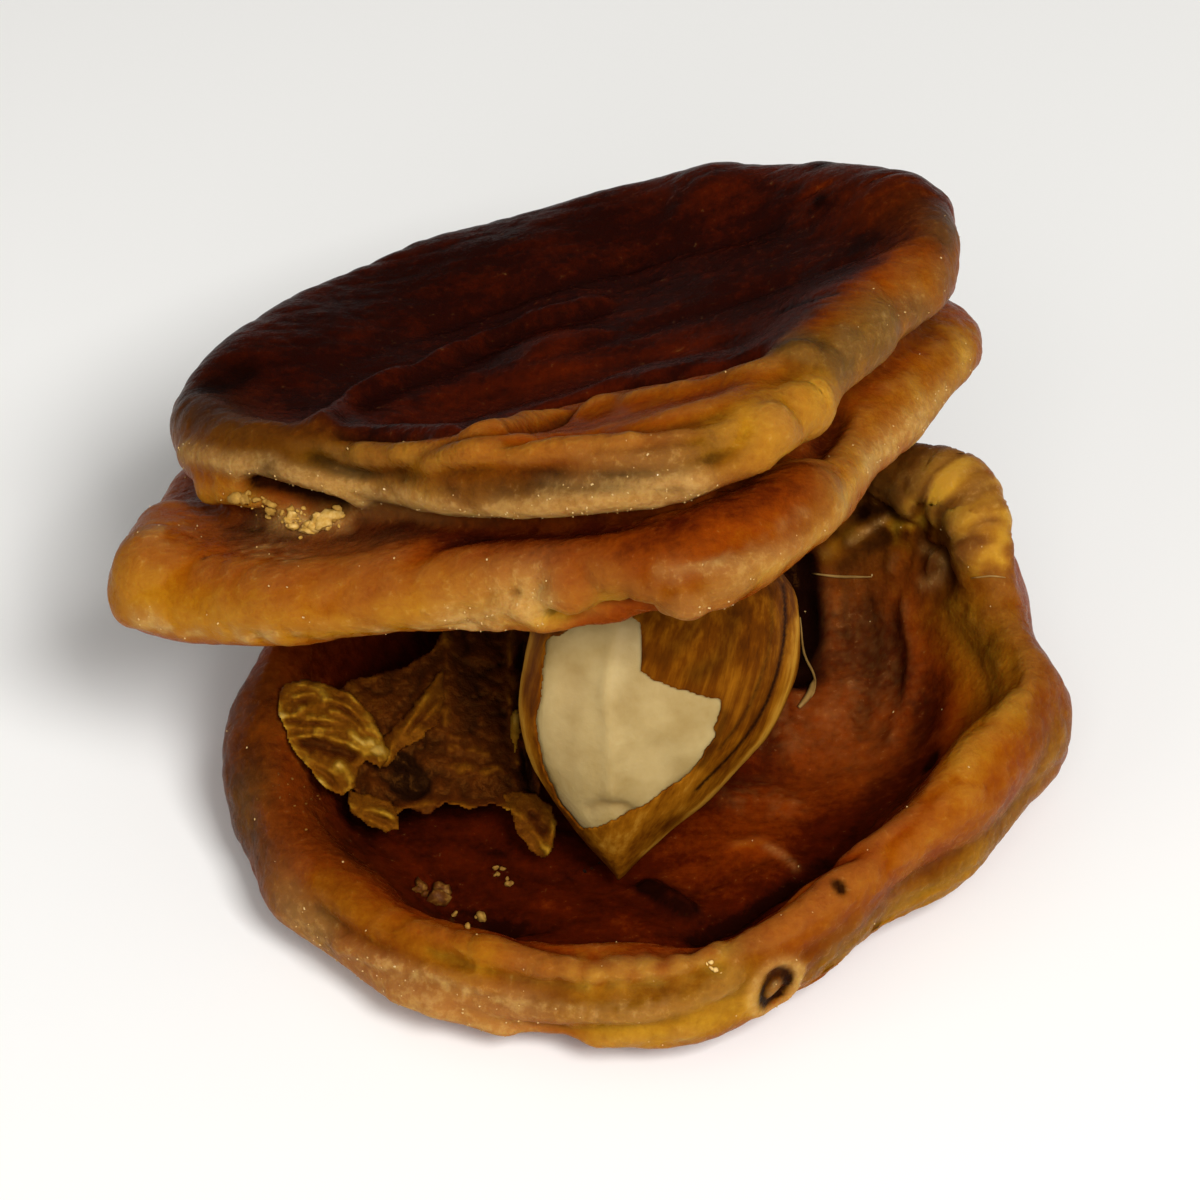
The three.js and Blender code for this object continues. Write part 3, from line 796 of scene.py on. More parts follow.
def upperHalf():
    look = upperLook
    piece = fineCopy("upper_half_flesh", "upper_half", rounding=2, voxel=look["voxel"], smoothing=8)
    points, normals = readPoints(piece)
    turn = upperTurn()
    own = (points - look["centre"]) @ turn  # in the half's own tilted plane
    ownNormals = normals @ turn
    beyond = np.maximum(points[:, 0] - look["rightEnd"], 0) * smoothStep(own[:, 2], 0, 1.5)
    points[:, 0] -= beyond * look["drawIn"]
    drawn = own * (0.3, 1, 1)  # wrinkles run from left to right
    shift = look["lumps"][1] * roughness(points, look["lumps"][0], 5.0)
    shift -= look["folds"][1] * (1 - ridges(drawn, look["folds"][0])) ** 2
    shift -= look["lines"][1] * (1 - ridges(drawn, look["lines"][0], 2.0)) ** 2
    shift += look["grain"][1] * roughness(points, look["grain"][0], 3.0)
    points += normals * shift[:, None]
    writePoints(piece, points)
    edge = pixelsInView(smoothLine(look["darkEdge"], 6))
    seen = inView(points)
    below = np.interp(seen[:, 0], edge[:, 0], edge[:, 1]) - seen[:, 1] + 0.3 * roughness(points, 1.8, 6.0)
    soft = 0.4 + 2.6 * (1 - smoothStep(seen[:, 0], -18, -10)) + 2.6 * smoothStep(seen[:, 0], 7, 15)
    lip = smoothStep(below / soft, -1, 1)
    top = smoothStep(ownNormals[:, 2], 0.3, 0.8) * (1 - lip) * (own[:, 2] > 0)
    under = smoothStep(-ownNormals[:, 2], 0.4, 0.9)
    back = smoothStep(own[:, 1], 2, 14)
    amber = look["amber"] + look["foldLight"] * (own[:, 2] > 0)
    # the top is darker: its skin is browner, and painted shade deepens it
    amber = amber - look["topDark"] * top - look["underDark"] * under - look["backDark"] * back * (1 - top)
    paint = {name: np.zeros(len(points)) for name in ("bloom", "shade", "wet", "olive")}
    paint.update(amber=amber)
    workStrokes(piece, upperStrokes, paint)
    sharpen(piece, rounds=60, amount=0.6)
    sugarLightAndShade(piece, paint)
    writePaint(piece, paint)
    return piece, paint


lower, lowerPaint = lowerHalf()
upper, upperPaint = upperHalf()
lowerTree = surfaceTree(lower)
upperTree = surfaceTree(upper)
print("flesh shaped")


# The kernel: cream seed flesh, and its papery brown coat

kernelLook = dict(
    lean=23, side=17,  # how the seed stands, degrees back and sideways
    voxel=0.16,  # size of its small faces, mm
    shift=-0.5,  # to the right, mm
    swell=0.78, coatSwell=0.93,  # how far the seed and its coat stand outside the bare solid, mm
    inset=0.25,  # how far the seed's sides lie inside its coat's
    lumps=(3.0, 0.06), grain=(0.9, 0.015),  # size and depth, mm
    # the last colour is painted shade, laid over the seed's crease, a hollow and its left side
    cream="#b09762", creamDarker="#977c46", paintedSeedShade="#8a6a38",
)
seedSides = dict(  # pixels down the seed's two sides, from where it comes out of the flesh to its tip
    left=[(757, 395), (753, 420), (751, 450), (755, 475), (764, 493), (776, 511), (788, 526), (803, 542)],
    right=[
        (908, 395), (908, 405), (905, 430), (894, 460), (878, 480), (861, 500), (842, 515), (825, 531),
        (812, 543),
    ],
)
kernelStrokes = [
    # a ridge down the seed; then painted shade in the crease at its foot, in a hollow at its right and down
    # its left side
    dict(along=[(806, 398), (801, 440), (803, 480), (802, 498)], wide=0.45, lift=0.24),
    dict(along=[(790, 504), (802, 500), (815, 506)], wide=0.3, lift=-0.35, form="cut", shade=0.4),
    dict(along=[(826, 470), (840, 490)], wide=0.8, lift=-0.2, shade=0.1),
    dict(along=[(782, 430), (776, 455), (776, 485)], wide=1.0, lift=-0.16, shade=0.2),
]
coatLook = dict(
    thick=0.1, ragged=0.12,  # mm
    dark="#1c0a03",
    stops=((0.0, "#2c1003"), (0.35, "#5a2c03"), (0.65, "#86500a"), (1.0, "#b27d26")),
    # pixels round the tear in the coat
    tear=[
        (807, 393), (816, 401), (817, 428), (835, 437), (861, 443), (858, 462), (846, 481), (820, 499),
        (797, 511), (786, 514), (774, 500), (765, 480), (761, 455), (766, 432), (766, 411),
    ],
)
coatStrokes = [
    # the seam down the right edge: a dark line inside a golden band, and a second line
    dict(
        along=[(897, 380), (898, 400), (895, 422), (886, 448), (871, 470), (850, 492)],
        wide=0.2, lift=-0.07, form="cut", shade=1.3, spread=0.14,
    ),
    dict(
        along=[(904, 380), (905, 402), (901, 430), (890, 458), (872, 481), (850, 503), (822, 527)],
        wide=0.55, lift=0.05, tone=0.65,
    ),
    dict(
        along=[(889, 380), (890, 402), (886, 424), (876, 449), (862, 469)],
        wide=0.2, form="cut", shade=0.6, spread=0.14,
    ),
    dict(along=[(757, 412), (752, 440), (756, 470), (764, 492)], wide=0.7, tone=0.6),
    dict(along=[(800, 522), (830, 505), (850, 485)], wide=1.2, tone=0.3),
    dict(along=[(830, 420), (845, 405), (850, 390)], wide=0.5, shade=0.3),
    # painted shadow over the coat at the seed's lower left
    dict(along=[(772, 507), (786, 524), (800, 538)], wide=0.6, shade=0.7),
    dict(along=[(848, 428), (862, 418), (870, 396)], wide=0.6, shade=0.5),
    dict(along=[(858, 448), (864, 452), (852, 478)], wide=0.3, shade=0.5),
]


# Seed flesh: dense and waxy, so it is cream, matte, and soft in its shadows.
def creamMaterial():
    made, tree = newMaterial("creamSeedFlesh")
    place = add(tree, "TexCoord").outputs["Object"]
    cloud = add(tree, "TexNoise", {"Vector": place, "Scale": perMm(2.4), "Detail": 4, "Roughness": 0.55})
    grain = add(tree, "TexNoise", {"Vector": place, "Scale": perMm(0.35), "Detail": 3, "Roughness": 0.6})
    shade = add(tree, "Attribute", attribute_name="shade").outputs["Fac"]
    tone = add(tree, "MapRange", {"Value": cloud.outputs["Fac"], "From Min": 0.35, "From Max": 0.7})
    base = add(
        tree, "Mix",
        {0: tone.outputs[0], 6: linear(kernelLook["cream"]), 7: linear(kernelLook["creamDarker"])},
        data_type="RGBA",
    )
    # painted shade in the seed's crease, a hollow and its left side
    paintedSeedShade = linear(kernelLook["paintedSeedShade"])
    colour = add(tree, "Mix", {0: shade, 6: base.outputs[2], 7: paintedSeedShade}, data_type="RGBA")
    bump = add(tree, "Bump", {"Height": grain.outputs["Fac"], "Strength": 0.35, "Distance": 0.0001})
    shader = add(
        tree, "BsdfPrincipled",
        {
            "Base Color": colour.outputs[2],
            "Roughness": 0.55,
            "Normal": bump.outputs["Normal"],
            "Specular IOR Level": 0.3,
            "Subsurface Weight": 0.25,
            "Subsurface Radius": (1.0, 0.7, 0.4),
            "Subsurface Scale": 0.0012,
        },
    )
    add(tree, "OutputMaterial", {"Surface": shader.outputs[0]})
    return made


# Seed coat: a dry papery skin with fibres along the seed, so it is brown, streaked and matte.
def coatMaterial():
    made, tree = newMaterial("paperySeedCoat")
    place = add(tree, "TexCoord").outputs["Object"]
    turn = (math.radians(kernelLook["lean"]), math.radians(-kernelLook["side"]), 0)
    turned = add(tree, "Mapping", {"Vector": place, "Rotation": turn}).outputs["Vector"]
    drawn = add(tree, "Mapping", {"Vector": turned, "Scale": (1, 1, 0.08)}).outputs["Vector"]
    fibre = add(tree, "TexNoise", {"Vector": drawn, "Scale": perMm(0.4), "Detail": 4, "Roughness": 0.6})
    cloud = add(tree, "TexNoise", {"Vector": place, "Scale": perMm(2.2), "Detail": 4, "Roughness": 0.6})
    tint = add(tree, "Attribute", attribute_name="tone").outputs["Fac"]
    shade = add(tree, "Attribute", attribute_name="shade").outputs["Fac"]
    tone = add(tree, "Math", {0: fibre.outputs["Fac"], 1: 0.9, 2: tint}, operation="MULTIPLY_ADD")
    tone = add(tree, "Math", {0: cloud.outputs["Fac"], 1: 0.7, 2: tone.outputs[0]}, operation="MULTIPLY_ADD")
    tone = add(tree, "Math", {0: tone.outputs[0], 1: 0.65}, operation="SUBTRACT")
    base = add(tree, "ValToRGB", {0: tone.outputs[0]}, coatLook["stops"]).outputs["Color"]
    # the shade layer darkens it: the seam's dark lines and patches, and painted shadow at the lower left
    colour = add(tree, "Mix", {0: shade, 6: base, 7: linear(coatLook["dark"])}, data_type="RGBA")
    bump = add(tree, "Bump", {"Height": fibre.outputs["Fac"], "Strength": 0.4, "Distance": 0.00012})
    shader = add(
        tree, "BsdfPrincipled",
        {
            "Base Color": colour.outputs[2],
            "Roughness": 0.5,
            "Normal": bump.outputs["Normal"],
            "Specular IOR Level": 0.06,
            "Specular Tint": linear(gloss["tint"]),
            "Subsurface Weight": 0.1,
            "Subsurface Radius": (1.0, 0.5, 0.2),
            "Subsurface Scale": 0.0006,
        },
    )
    add(tree, "OutputMaterial", {"Surface": shader.outputs[0]})
    return made


# Each row of the seed in the view is widened or narrowed until its sides show where they should
def fitSides(points, inset, count=40):
    across, up = inView(points).T
    rows = np.linspace(up.min(), up.max(), count)
    which = np.clip(np.searchsorted(rows, up), 1, count - 1)
    near = [np.abs(which - row) < 2 for row in range(1, count)]
    ends = [[pick(across[part]) for part in near] for pick in (np.min, np.max)]
    middles = (rows[1:] + rows[:-1]) / 2
    oldLeft, oldRight = [np.interp(up, middles, end) for end in ends]
    wanted = [pixelsInView(smoothLine(seedSides[side], 4)) for side in ("left", "right")]
    newLeft, newRight = [np.interp(up, line[::-1, 1], line[::-1, 0]) for line in wanted]
    shown = 1 - smoothStep(up, wanted[0][0, 1], wanted[0][0, 1] + 3)  # above this the flesh hides it
    part = (across - oldLeft) / np.maximum(oldRight - oldLeft, 0.2)
    fitted = newLeft + inset + part * (newRight - newLeft - 2 * inset)
    points[:, 0] += (fitted - across) * shown


def seedShape(name, swell, inset):  # the kernel's shape, swollen to fill the gap that the solids keep
    piece = fineCopy(name, "kernel", rounding=2, voxel=kernelLook["voxel"], smoothing=4)
    points, normals = readPoints(piece)
    lumps, grain = kernelLook["lumps"], kernelLook["grain"]
    uneven = lumps[1] * roughness(points, lumps[0]) + grain[1] * roughness(points, grain[0], 4.0)
    points += normals * (swell + uneven)[:, None]
    points[:, 0] += kernelLook["shift"]
    fitSides(points, inset)
    writePoints(piece, points)
    return piece


def kernel():
    piece = seedShape("kernel_flesh", kernelLook["swell"], kernelLook["inset"])
    paint = dict(shade=np.zeros(len(piece.data.vertices)))
    workStrokes(piece, kernelStrokes, paint)
    writePaint(piece, paint)
    finishPiece(piece, creamMaterial(), "kernel", "kernel")


def kernelCoat():
    piece = seedShape("kernel_skin", kernelLook["coatSwell"], 0)
    count = len(piece.data.vertices)
    paint = dict(tone=np.full(count, 0.25), shade=np.zeros(count))
    workStrokes(piece, coatStrokes, paint)
    writePaint(piece, paint)
    points, normals = readPoints(piece)
    ragged = np.column_stack([roughness(points, 0.8, start) for start in (1.0, 11.0)]) * coatLook["ragged"]
    shown = inView(points) + ragged
    tear = [tuple(spot) for spot in pixelsInView(coatLook["tear"])]
    front = normals @ np.array(sightLine((0, 0))[1]) < 0
    body = bmesh.new()
    body.from_mesh(piece.data)
    body.verts.ensure_lookup_table()
    gone = [v for v in body.verts if front[v.index] and insideOutline(shown[v.index], tear)]
    bmesh.ops.delete(body, geom=gone, context="VERTS")
    edge = [v for v in body.verts if v.is_boundary]
    for turn in range(3):
        bmesh.ops.smooth_vert(body, verts=edge, factor=0.5, **everyWay)
    bmesh.ops.solidify(body, geom=body.faces[:], thickness=coatLook["thick"])
    body.to_mesh(piece.data)
    body.free()
    finishPiece(piece, coatMaterial(), "kernel_coat", "kernel_coat")


kernel()
kernelCoat()


# The papery lining: crumpled golden shreds left of the kernel. Each is a thin sheet cut to an outline
# of pixels and lifted off a leaning plane, with crests and valleys along its folds.

liningLook = dict(
    middle=(-8.75, -4.45, 6.35), facing=(0.1, -0.41, 0.91),  # of the plane
    spacing=0.1, thick=0.06, ragged=0.16,  # mm
    stops=((0.0, "#1a0a03"), (0.3, "#451d04"), (0.6, "#6a3c07"), (0.85, "#8f6516"), (1.0, "#ac8438")),
)
shreds = [
    dict(  # the crumpled leaf at the left
        outline=[
            (614, 438), (622, 432), (636, 433), (648, 436), (658, 441), (667, 451), (675, 464), (679, 477),
            (673, 484), (665, 478), (661, 486), (659, 493), (652, 499), (642, 494), (631, 482), (621, 468),
            (614, 452),
        ],
        rise=1.6, crumple=(0.7, 0.45), tone=0.16,
        folds=[
            dict(
                along=[(616, 446), (622, 437), (633, 436), (641, 441), (637, 447), (628, 449)],
                wide=0.2, lift=0.9,
            ),
            dict(along=[(622, 443), (632, 441), (637, 444)], wide=0.14, lift=0.5),
            dict(along=[(640, 436), (652, 440), (662, 449), (670, 462), (676, 477)], wide=0.2, lift=0.8),
            dict(along=[(640, 443), (652, 447), (663, 458), (672, 474)], wide=0.16, lift=0.7),
            dict(along=[(644, 450), (655, 455), (665, 465), (672, 478)], wide=0.16, lift=0.6),
            dict(along=[(617, 453), (628, 453), (645, 456), (658, 462), (668, 474)], wide=0.2, lift=0.7),
            dict(along=[(620, 459), (634, 460), (650, 461), (662, 468)], wide=0.16, lift=0.7),
            dict(along=[(624, 465), (638, 464), (652, 467), (664, 474)], wide=0.18, lift=0.8),
            dict(along=[(615, 450), (621, 467), (632, 481), (643, 492), (653, 497)], wide=0.22, lift=0.8),
            dict(along=[(627, 470), (637, 479), (648, 486), (656, 488)], wide=0.2, lift=0.6),
            dict(along=[(650, 480), (656, 486), (654, 494)], wide=0.32, lift=1.0),
            dict(along=[(630, 469), (645, 471), (657, 476)], wide=0.32, lift=-1.1),
            dict(along=[(618, 456), (632, 457), (650, 458)], wide=0.14, lift=-0.7),
            dict(along=[(645, 447), (656, 452), (666, 464)], wide=0.14, lift=-0.6),
            dict(along=[(626, 445), (634, 445)], wide=0.15, lift=-0.7),
            dict(along=[(640, 484), (648, 492)], wide=0.2, lift=-0.6),
        ],
    ),
    dict(  # the torn strip that fans out between the leaf and the membrane
        outline=[
            (673, 484), (668, 474), (676, 462), (690, 446), (702, 430), (709, 424), (709, 444), (703, 460),
            (694, 468), (684, 474), (678, 482),
        ],
        rise=1.0, crumple=(1.0, 0.25), tone=0.0,
        folds=[
            dict(along=[(674, 480), (682, 466), (693, 450), (705, 430)], wide=0.2, lift=0.7),
            dict(along=[(676, 478), (688, 464), (700, 452), (707, 442)], wide=0.18, lift=0.6),
            dict(along=[(677, 480), (688, 471), (700, 460)], wide=0.18, lift=0.5),
            dict(along=[(680, 472), (692, 458), (703, 444)], wide=0.14, lift=-0.5),
        ],
    ),
    dict(  # the thin membrane from the wall to the kernel
        outline=[
            (640, 440), (655, 432), (680, 427), (700, 416), (708, 398), (763, 398), (759, 440), (759, 470),
            (764, 498), (748, 508), (736, 503), (722, 506), (710, 503), (700, 509), (688, 506), (678, 512),
            (664, 506), (656, 494), (650, 470),
        ],
        rise=0.5, crumple=(1.3, 0.45), tone=-0.1,
        folds=[
            dict(along=[(642, 439), (668, 432), (690, 424), (706, 412)], wide=0.25, lift=0.5),
            dict(along=[(706, 402), (710, 425), (709, 456)], wide=0.3, lift=0.7),
            dict(along=[(712, 472), (722, 471), (732, 475)], wide=0.22, lift=0.9),
            dict(along=[(746, 405), (744, 434), (747, 461), (750, 479)], wide=0.25, lift=0.9),
            dict(along=[(680, 507), (695, 502), (712, 503), (738, 506), (752, 504)], wide=0.35, lift=0.9),
            dict(along=[(720, 484), (729, 485), (737, 483)], wide=0.4, lift=0.7),
            dict(along=[(705, 462), (720, 466), (744, 464)], wide=0.25, lift=0.4),
            dict(along=[(727, 412), (728, 440), (730, 456)], wide=1.1, lift=-0.3),
            dict(along=[(684, 476), (688, 486), (690, 494)], wide=0.9, lift=-1.5),
            dict(along=[(752, 410), (751, 440), (752, 470), (757, 495)], wide=0.25, lift=-1.0),
            dict(along=[(660, 418), (690, 412)], wide=0.8, lift=-0.6),
        ],
    ),
    dict(  # a pale bit at its right edge
        outline=[(746, 450), (750, 448), (752, 460), (751, 470), (748, 477), (745, 466)],
        rise=1.1, crumple=(0.6, 0.2), tone=0.4,
        folds=[dict(along=[(749, 452), (748, 474)], wide=0.15, lift=0.3)],
    ),
    dict(  # a curl at its bottom left
        outline=[
            (653, 494), (665, 496), (678, 500), (684, 509), (685, 517), (676, 519), (664, 513), (656, 507),
        ],
        rise=1.1, crumple=(0.6, 0.3), tone=0.12,
        folds=[
            dict(along=[(657, 503), (668, 505), (678, 508), (683, 515)], wide=0.2, lift=0.7),
            dict(along=[(660, 508), (670, 512), (678, 517)], wide=0.18, lift=0.6),
            dict(along=[(662, 506), (674, 511), (680, 514)], wide=0.14, lift=-0.5),
        ],
    ),
    dict(  # a hooked flap beside the kernel
        outline=[
            (740, 497), (752, 495), (762, 497), (769, 503), (773, 513), (771, 527), (765, 534), (757, 529),
            (749, 517),
        ],
        rise=0.9, crumple=(0.8, 0.3), tone=0.1,
        folds=[
            dict(along=[(769, 505), (770, 516), (767, 530)], wide=0.22, lift=0.8),
            dict(along=[(747, 506), (756, 514), (764, 526)], wide=0.22, lift=0.6),
            dict(along=[(758, 509), (764, 517)], wide=0.25, lift=-0.7),
        ],
    ),
]


def onLiningPlane(pixel):
    start, ahead = sightLine(pixel)
    facing = Vector(liningLook["facing"])
    return start + ahead * ((Vector(liningLook["middle"]) - start).dot(facing) / ahead.dot(facing))


# Gives one shred's faces, and how much each of its points stands out
def cutShred(body, shred, crests):
    look = liningLook
    low = np.min(shred["outline"], axis=0) - 4
    span = np.max(shred["outline"], axis=0) + 4 - low
    steps = np.ceil(span * sight["mmPerPixel"] / look["spacing"]).astype(int)
    made = bmesh.ops.create_grid(body, x_segments=int(steps[0]), y_segments=int(steps[1]), size=0.5)["verts"]
    pixels = np.array([low + (np.array(v.co[:2]) + 0.5) * span for v in made])
    flat = np.array([onLiningPlane(p) for p in pixels])
    wander = np.column_stack([roughness(flat, 0.7, start) for start in (2.0, 8.0)])
    wander = wander * look["ragged"] / sight["mmPerPixel"]
    middle = np.mean(shred["outline"], axis=0)
    dome = 1 - np.clip(np.linalg.norm((pixels - middle) / (span / 2), axis=1), 0, 1) ** 2
    size, depth = shred["crumple"]
    stand = depth * (1.6 * ridges(flat, size, 3.0) - 0.8)
    stand += 0.5 * depth * (2 * ridges(flat, size / 2.6, 5.0) - 1)
    uneven = 0.7 + 1.0 * roughness(flat, 1.1, 6.0)
    for fold in shred["folds"]:
        line = np.array([onLiningPlane(p) for p in smoothLine(fold["along"], 1)])
        away = beside(flat, line, np.zeros_like(line))[0]
        stand += fold["lift"] * np.exp(-((away / fold["wide"]) ** 2)) * uneven
    lift = 0.5 * stand + shred["rise"] * (0.4 + 0.6 * dome)
    towards = -sightLine((0, 0))[1]
    gone = []
    for vertex, place, pixel, up, crest in zip(made, flat, pixels + wander, lift, stand):
        vertex.co = Vector(place) + towards * up
        # the tone is painted lighter on fold crests and darker in valleys, as painted highlight and shade
        vertex[crests] = 0.4 + shred["tone"] + 0.4 * min(crest, 1.1)
        if not insideOutline(pixel, shred["outline"]):
            gone.append(vertex)
    bmesh.ops.delete(body, geom=gone, context="VERTS")


# Fruit lining: a thin dried membrane, so it is golden, a little clear and a little glossy, with painted
# highlights on its fold crests and painted shade in its valleys.
def liningMaterial():
    made, tree = newMaterial("goldenFruitLining")
    place = add(tree, "TexCoord").outputs["Object"]
    cloud = add(tree, "TexNoise", {"Vector": place, "Scale": perMm(1.5), "Detail": 5, "Roughness": 0.65})
    vein = add(tree, "TexNoise", {"Vector": place, "Scale": perMm(0.4), "Detail": 3, "Roughness": 0.6})
    crest = add(tree, "Attribute", attribute_name="crest").outputs["Fac"]
    tone = add(tree, "Math", {0: cloud.outputs["Fac"], 1: 0.5, 2: crest}, operation="MULTIPLY_ADD")
    tone = add(tree, "Math", {0: tone.outputs[0], 1: 0.25}, operation="SUBTRACT")
    base = add(tree, "ValToRGB", {0: tone.outputs[0]}, liningLook["stops"]).outputs["Color"]
    bump = add(tree, "Bump", {"Height": vein.outputs["Fac"], "Strength": 0.8, "Distance": 0.00016})
    shader = add(
        tree, "BsdfPrincipled",
        {
            "Base Color": base,
            "Roughness": 0.48,
            "Normal": bump.outputs["Normal"],
            "Specular IOR Level": 0.18,
            "Specular Tint": linear(gloss["tint"]),
            "Subsurface Weight": 0.4,
            "Subsurface Radius": (1.0, 0.6, 0.15),
            "Subsurface Scale": 0.0006,
        },
    )
    add(tree, "OutputMaterial", {"Surface": shader.outputs[0]})
    return made


def lining():
    body = bmesh.new()
    crests = body.verts.layers.float.new("crest")
    for shred in shreds:
        cutShred(body, shred, crests)
    bmesh.ops.recalc_face_normals(body, faces=body.faces)
    bmesh.ops.smooth_vert(body, verts=body.verts, factor=0.4, **everyWay)
    bmesh.ops.solidify(body, geom=body.faces[:], thickness=liningLook["thick"])
    finishPiece(meshPiece("lining_shreds", body), liningMaterial(), "lining", "lining")


lining()


# Crumbs: dry bits of fruit in the crease and on the floor of the hollow

crumbLook = dict(
    size=(0.06, 0.15),  # mm
    knobs=(0.17, 0.8),  # their size in mm and how far they stand out
    raised=0.35,  # part of its size that a crumb's middle is above the surface
    stops=((0.0, "#1a0803"), (0.3, "#5a2f08"), (0.75, "#b88c3c"), (1.0, "#dcb66e")),
    seed=5,
)
crumbSpots = [
    dict(
        tree=upperTree, along=[(622, 343), (630, 346), (640, 347), (650, 344)],
        count=34, spread=3, tone=0.8, pile=0.15, scale=1.7,
    ),
    dict(
        tree=upperTree, along=[(610, 338), (622, 341), (640, 344), (656, 341)],
        count=40, spread=7, tone=0.7,
    ),
    dict(tree=upperTree, along=[(600, 332), (612, 334)], count=12, spread=4, tone=0.6),
    dict(tree=lowerTree, along=[(690, 549), (703, 553), (712, 552)], count=10, spread=4, tone=0.3, scale=1.9),
    dict(tree=lowerTree, along=[(716, 563), (728, 565)], count=5, spread=2, tone=0.55, scale=1.4),
    dict(tree=lowerTree, along=[(736, 540), (744, 546)], count=6, spread=4, tone=0.5, scale=1.2),
    dict(tree=lowerTree, along=[(790, 541), (800, 536)], count=6, spread=4, tone=0.05),
    dict(
        tree=lowerTree, along=[(612, 488), (622, 498), (632, 504)],
        count=18, spread=12, tone=0.35, scale=0.5,
    ),
    dict(tree=lowerTree, along=[(855, 585), (860, 590)], count=5, spread=3, tone=1.0),
]


# Dry fruit crumbs: rough and open, so they are pale gold to brown and quite matte.
def crumbMaterial():
    made, tree = newMaterial("dryFruitCrumbs")
    place = add(tree, "TexCoord").outputs["Object"]
    grain = add(tree, "TexNoise", {"Vector": place, "Scale": perMm(0.3), "Detail": 3, "Roughness": 0.6})
    tint = add(tree, "Attribute", attribute_name="tone").outputs["Fac"]
    tone = add(tree, "Math", {0: grain.outputs["Fac"], 1: 0.6, 2: tint}, operation="MULTIPLY_ADD")
    tone = add(tree, "Math", {0: tone.outputs[0], 1: 0.3}, operation="SUBTRACT")
    base = add(tree, "ValToRGB", {0: tone.outputs[0]}, crumbLook["stops"]).outputs["Color"]
    shader = add(tree, "BsdfPrincipled", {"Base Color": base, "Roughness": 0.6, "Specular IOR Level": 0.1})
    add(tree, "OutputMaterial", {"Surface": shader.outputs[0]})
    return made


def anyTurn(chance):
    angle = chance.uniform(0, math.tau)
    return Matrix.Rotation(angle, 4, Vector([chance.gauss(0, 1) for axis in range(3)]))


def crumbs():
    look = crumbLook
    chance = random.Random(look["seed"])
    body = bmesh.new()
    tones = body.verts.layers.float.new("tone")
    for spot in crumbSpots:
        line = smoothLine(spot["along"], 2)
        for number in range(spot["count"]):
            mark = chance.choice(line) + [chance.gauss(0, spot["spread"] / 2) for axis in range(2)]
            place, facing = spot["tree"].ray_cast(*sightLine(mark))[:2]
            if place is None:
                continue
            size = chance.uniform(*look["size"]) * (1 + 2 * chance.random() ** 4) * spot.get("scale", 1)
            flatter = [size * chance.uniform(0.5, most) for most in (0.9, 0.8)]
            stretch = Matrix.Diagonal((size, *flatter, 1))
            turn = anyTurn(chance)
            centre = place + facing * (size * look["raised"] + chance.uniform(0, spot.get("pile", 0)))
            where = Matrix.Translation(centre) @ turn @ stretch
            made = bmesh.ops.create_icosphere(body, subdivisions=2, radius=1, matrix=where)["verts"]
            for vertex in made:
                knob = look["knobs"][1] * noise.noise(vertex.co / look["knobs"][0])
                vertex.co = centre + (vertex.co - centre) * (1 + knob)
                vertex[tones] = spot["tone"] + chance.uniform(-0.05, 0.05)
    finishPiece(meshPiece("fruit_crumbs", body), crumbMaterial(), "lining")


crumbs()


# Fibres: pale threads torn from the flesh

fibreLook = dict(pale="#b08a4c", brown="#684514", sides=6, raised=0.7)
fibres = [
    dict(tree=lowerTree, along=[(922, 372), (938, 374), (956, 374)], thick=0.08),
    dict(tree=lowerTree, along=[(1010, 375), (1020, 374), (1029, 375)], thick=0.05),
    dict(tree=lowerTree, along=[(915, 398), (917, 420), (922, 432), (921, 442), (913, 450)], thick=0.07),
    dict(tree=lowerTree, along=[(922, 436), (918, 444), (912, 451)], thick=0.17),
]


# Torn fruit fibre: dry and thin, so it is pale and dull.
def fibreMaterial():
    made, tree = newMaterial("paleFruitFibre")
    place = add(tree, "TexCoord").outputs["Object"]
    grain = add(tree, "TexNoise", {"Vector": place, "Scale": perMm(0.6), "Detail": 2, "Roughness": 0.5})
    ends = {6: linear(fibreLook["brown"]), 7: linear(fibreLook["pale"])}
    tone = add(tree, "Mix", {0: grain.outputs["Fac"], **ends}, data_type="RGBA").outputs[2]
    shader = add(tree, "BsdfPrincipled", {"Base Color": tone, "Roughness": 0.5, "Specular IOR Level": 0.15})
    add(tree, "OutputMaterial", {"Surface": shader.outputs[0]})
    return made


def fleshFibres():
    body = bmesh.new()
    for fibre in fibres:
        places, facing = trace(fibre["tree"], fibre["along"], 3)
        places = places + facing * fibre["thick"] * fibreLook["raised"]
        count = len(places)
        last = None
        for number, place in enumerate(places):
            size = fibre["thick"] * (0.35 + 0.65 * math.sin(math.pi * (number + 0.5) / count))
            heading = Vector(places[min(number + 1, count - 1)] - places[max(number - 1, 0)])
            where = Matrix.Translation(place) @ heading.to_track_quat("Z", "Y").to_matrix().to_4x4()
            capped = number in (0, count - 1)
            sides = fibreLook["sides"]
            made = bmesh.ops.create_circle(body, segments=sides, radius=size, cap_ends=capped, matrix=where)
            edges = list({e for v in made["verts"] for e in v.link_edges})
            if last:
                bmesh.ops.bridge_loops(body, edges=last + edges)
            last = edges
    bmesh.ops.recalc_face_normals(body, faces=body.faces)
    finishPiece(meshPiece("flesh_fibres", body), fibreMaterial(), "lining")


fleshFibres()


# Sugar: tiny crystals, thickest where the bloom is

sugarLook = dict(
    size=(0.02, 0.05),  # mm
    raised=0.3,  # part of its size that a grain's middle is above the surface
    counts=(130, 260),  # on the lower half and the upper half
    spread=0.01,  # how likely a grain is away from the bloom
    brown="#b88a44", pale="#d0b47c", seed=8,
)


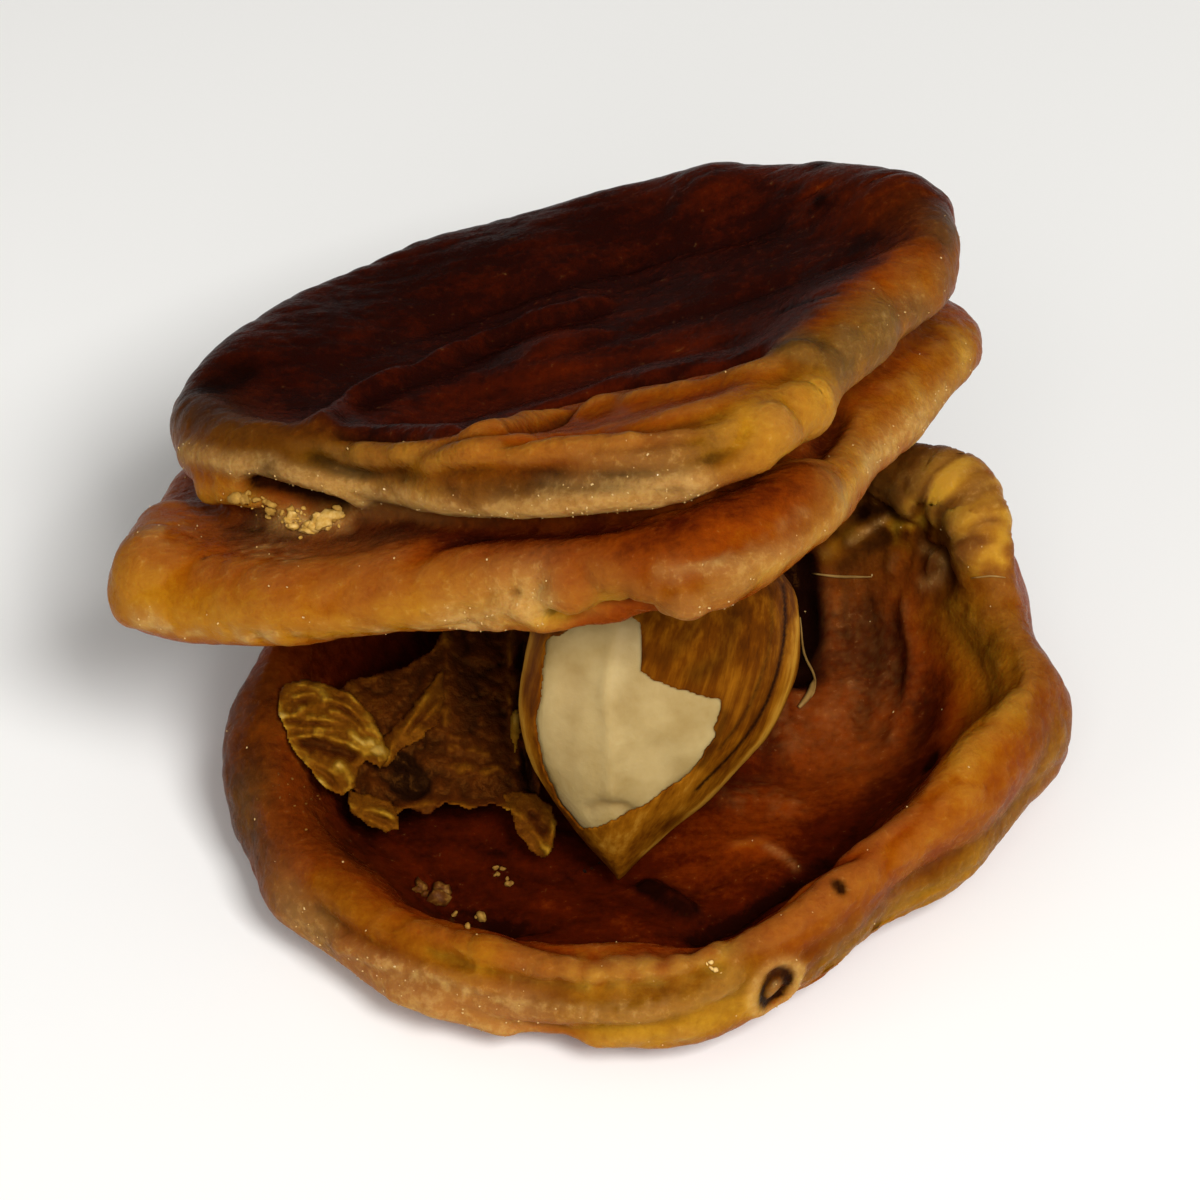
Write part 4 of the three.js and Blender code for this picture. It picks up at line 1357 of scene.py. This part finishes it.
# Sugar crystals: clear and faceted, so they glint.
def sugarMaterial():
    made, tree = newMaterial("sugarCrystals")
    place = add(tree, "TexCoord").outputs["Object"]
    grain = add(tree, "TexNoise", {"Vector": place, "Scale": perMm(2.0), "Detail": 1})
    ends = {6: linear(sugarLook["brown"]), 7: linear(sugarLook["pale"])}
    tone = add(tree, "Mix", {0: grain.outputs["Fac"], **ends}, data_type="RGBA").outputs[2]
    shader = add(tree, "BsdfPrincipled", {"Base Color": tone, "Roughness": 0.18})
    add(tree, "OutputMaterial", {"Surface": shader.outputs[0]})
    return made


def sugarGrains():
    chance = random.Random(sugarLook["seed"])
    body = bmesh.new()
    for piece, paint, count in zip((lower, upper), (lowerPaint, upperPaint), sugarLook["counts"]):
        points, normals = readPoints(piece)
        weights = np.clip(paint["bloom"], 0, 1) ** 1.5
        weights = weights + sugarLook["spread"] * (paint["amber"] > 0.3) * (points[:, 2] > 2)
        for index in chance.choices(range(len(points)), weights=weights.tolist(), k=count):
            size = chance.uniform(*sugarLook["size"])
            turn = anyTurn(chance)
            stretch = Matrix.Diagonal((size, size, size * chance.uniform(1.0, 2.0), 1))
            centre = points[index] + normals[index] * size * sugarLook["raised"]
            where = Matrix.Translation(centre) @ turn @ stretch
            bmesh.ops.create_cube(body, size=1.4, matrix=where)
    piece = meshPiece("sugar_grains", body)
    finishPiece(piece, sugarMaterial(), "upper_flesh")
    for polygon in piece.data.polygons:
        polygon.use_smooth = False


sugarGrains()

# The halves are finished last, because the bits above are set on them in millimetres
finishPiece(lower, fleshMaterial("amberDriedFlesh", lowerLook, (0, 0, 0)), "lower_flesh", "lower_half")
grainTurn = (math.radians(upperLook["pitch"]), math.radians(upperLook["roll"]), 0)
finishPiece(upper, fleshMaterial("redBrownDriedFlesh", upperLook, grainTurn), "upper_flesh", "upper_half")


# The stage: a pale floor and soft studio light

stageLook = dict(floor="#fbfaf7", floorSize=1.5, world="#f4f2ee", worldStrength=0.22, aim=(0, 0, 0.012))
lights = [
    dict(name="key", place=(0.18, -0.36, 0.44), size=0.20, watts=3.05),
    dict(name="fill", place=(-0.38, -0.30, 0.24), size=0.35, watts=0.45),
    dict(name="front", place=(0.0, -0.42, 0.34), size=0.30, watts=0.8),
]


def makeStage():
    body = bmesh.new()
    bmesh.ops.create_grid(body, x_segments=1, y_segments=1, size=stageLook["floorSize"])
    floor = meshPiece("floor", body)
    made, tree = newMaterial("palePaintedBoard")
    shader = add(tree, "BsdfPrincipled", {"Base Color": linear(stageLook["floor"]), "Roughness": 0.7})
    add(tree, "OutputMaterial", {"Surface": shader.outputs[0]})
    floor.data.materials.append(made)
    for light in lights:
        lamp = bpy.data.lights.new(light["name"], "AREA")
        lamp.energy = light["watts"]
        lamp.size = light["size"]
        placed = bpy.data.objects.new(light["name"], lamp)
        placed.location = light["place"]
        aim = Vector(stageLook["aim"]) - placed.location
        placed.rotation_euler = aim.to_track_quat("-Z", "Y").to_euler()
        scene.collection.objects.link(placed)
    scene.world = bpy.data.worlds.new("studio")
    scene.world.use_nodes = True
    sky = scene.world.node_tree.nodes["Background"]
    sky.inputs["Color"].default_value = linear(stageLook["world"])
    sky.inputs["Strength"].default_value = stageLook["worldStrength"]
    scene.view_settings.view_transform = "Standard"


makeStage()
print("stage set")
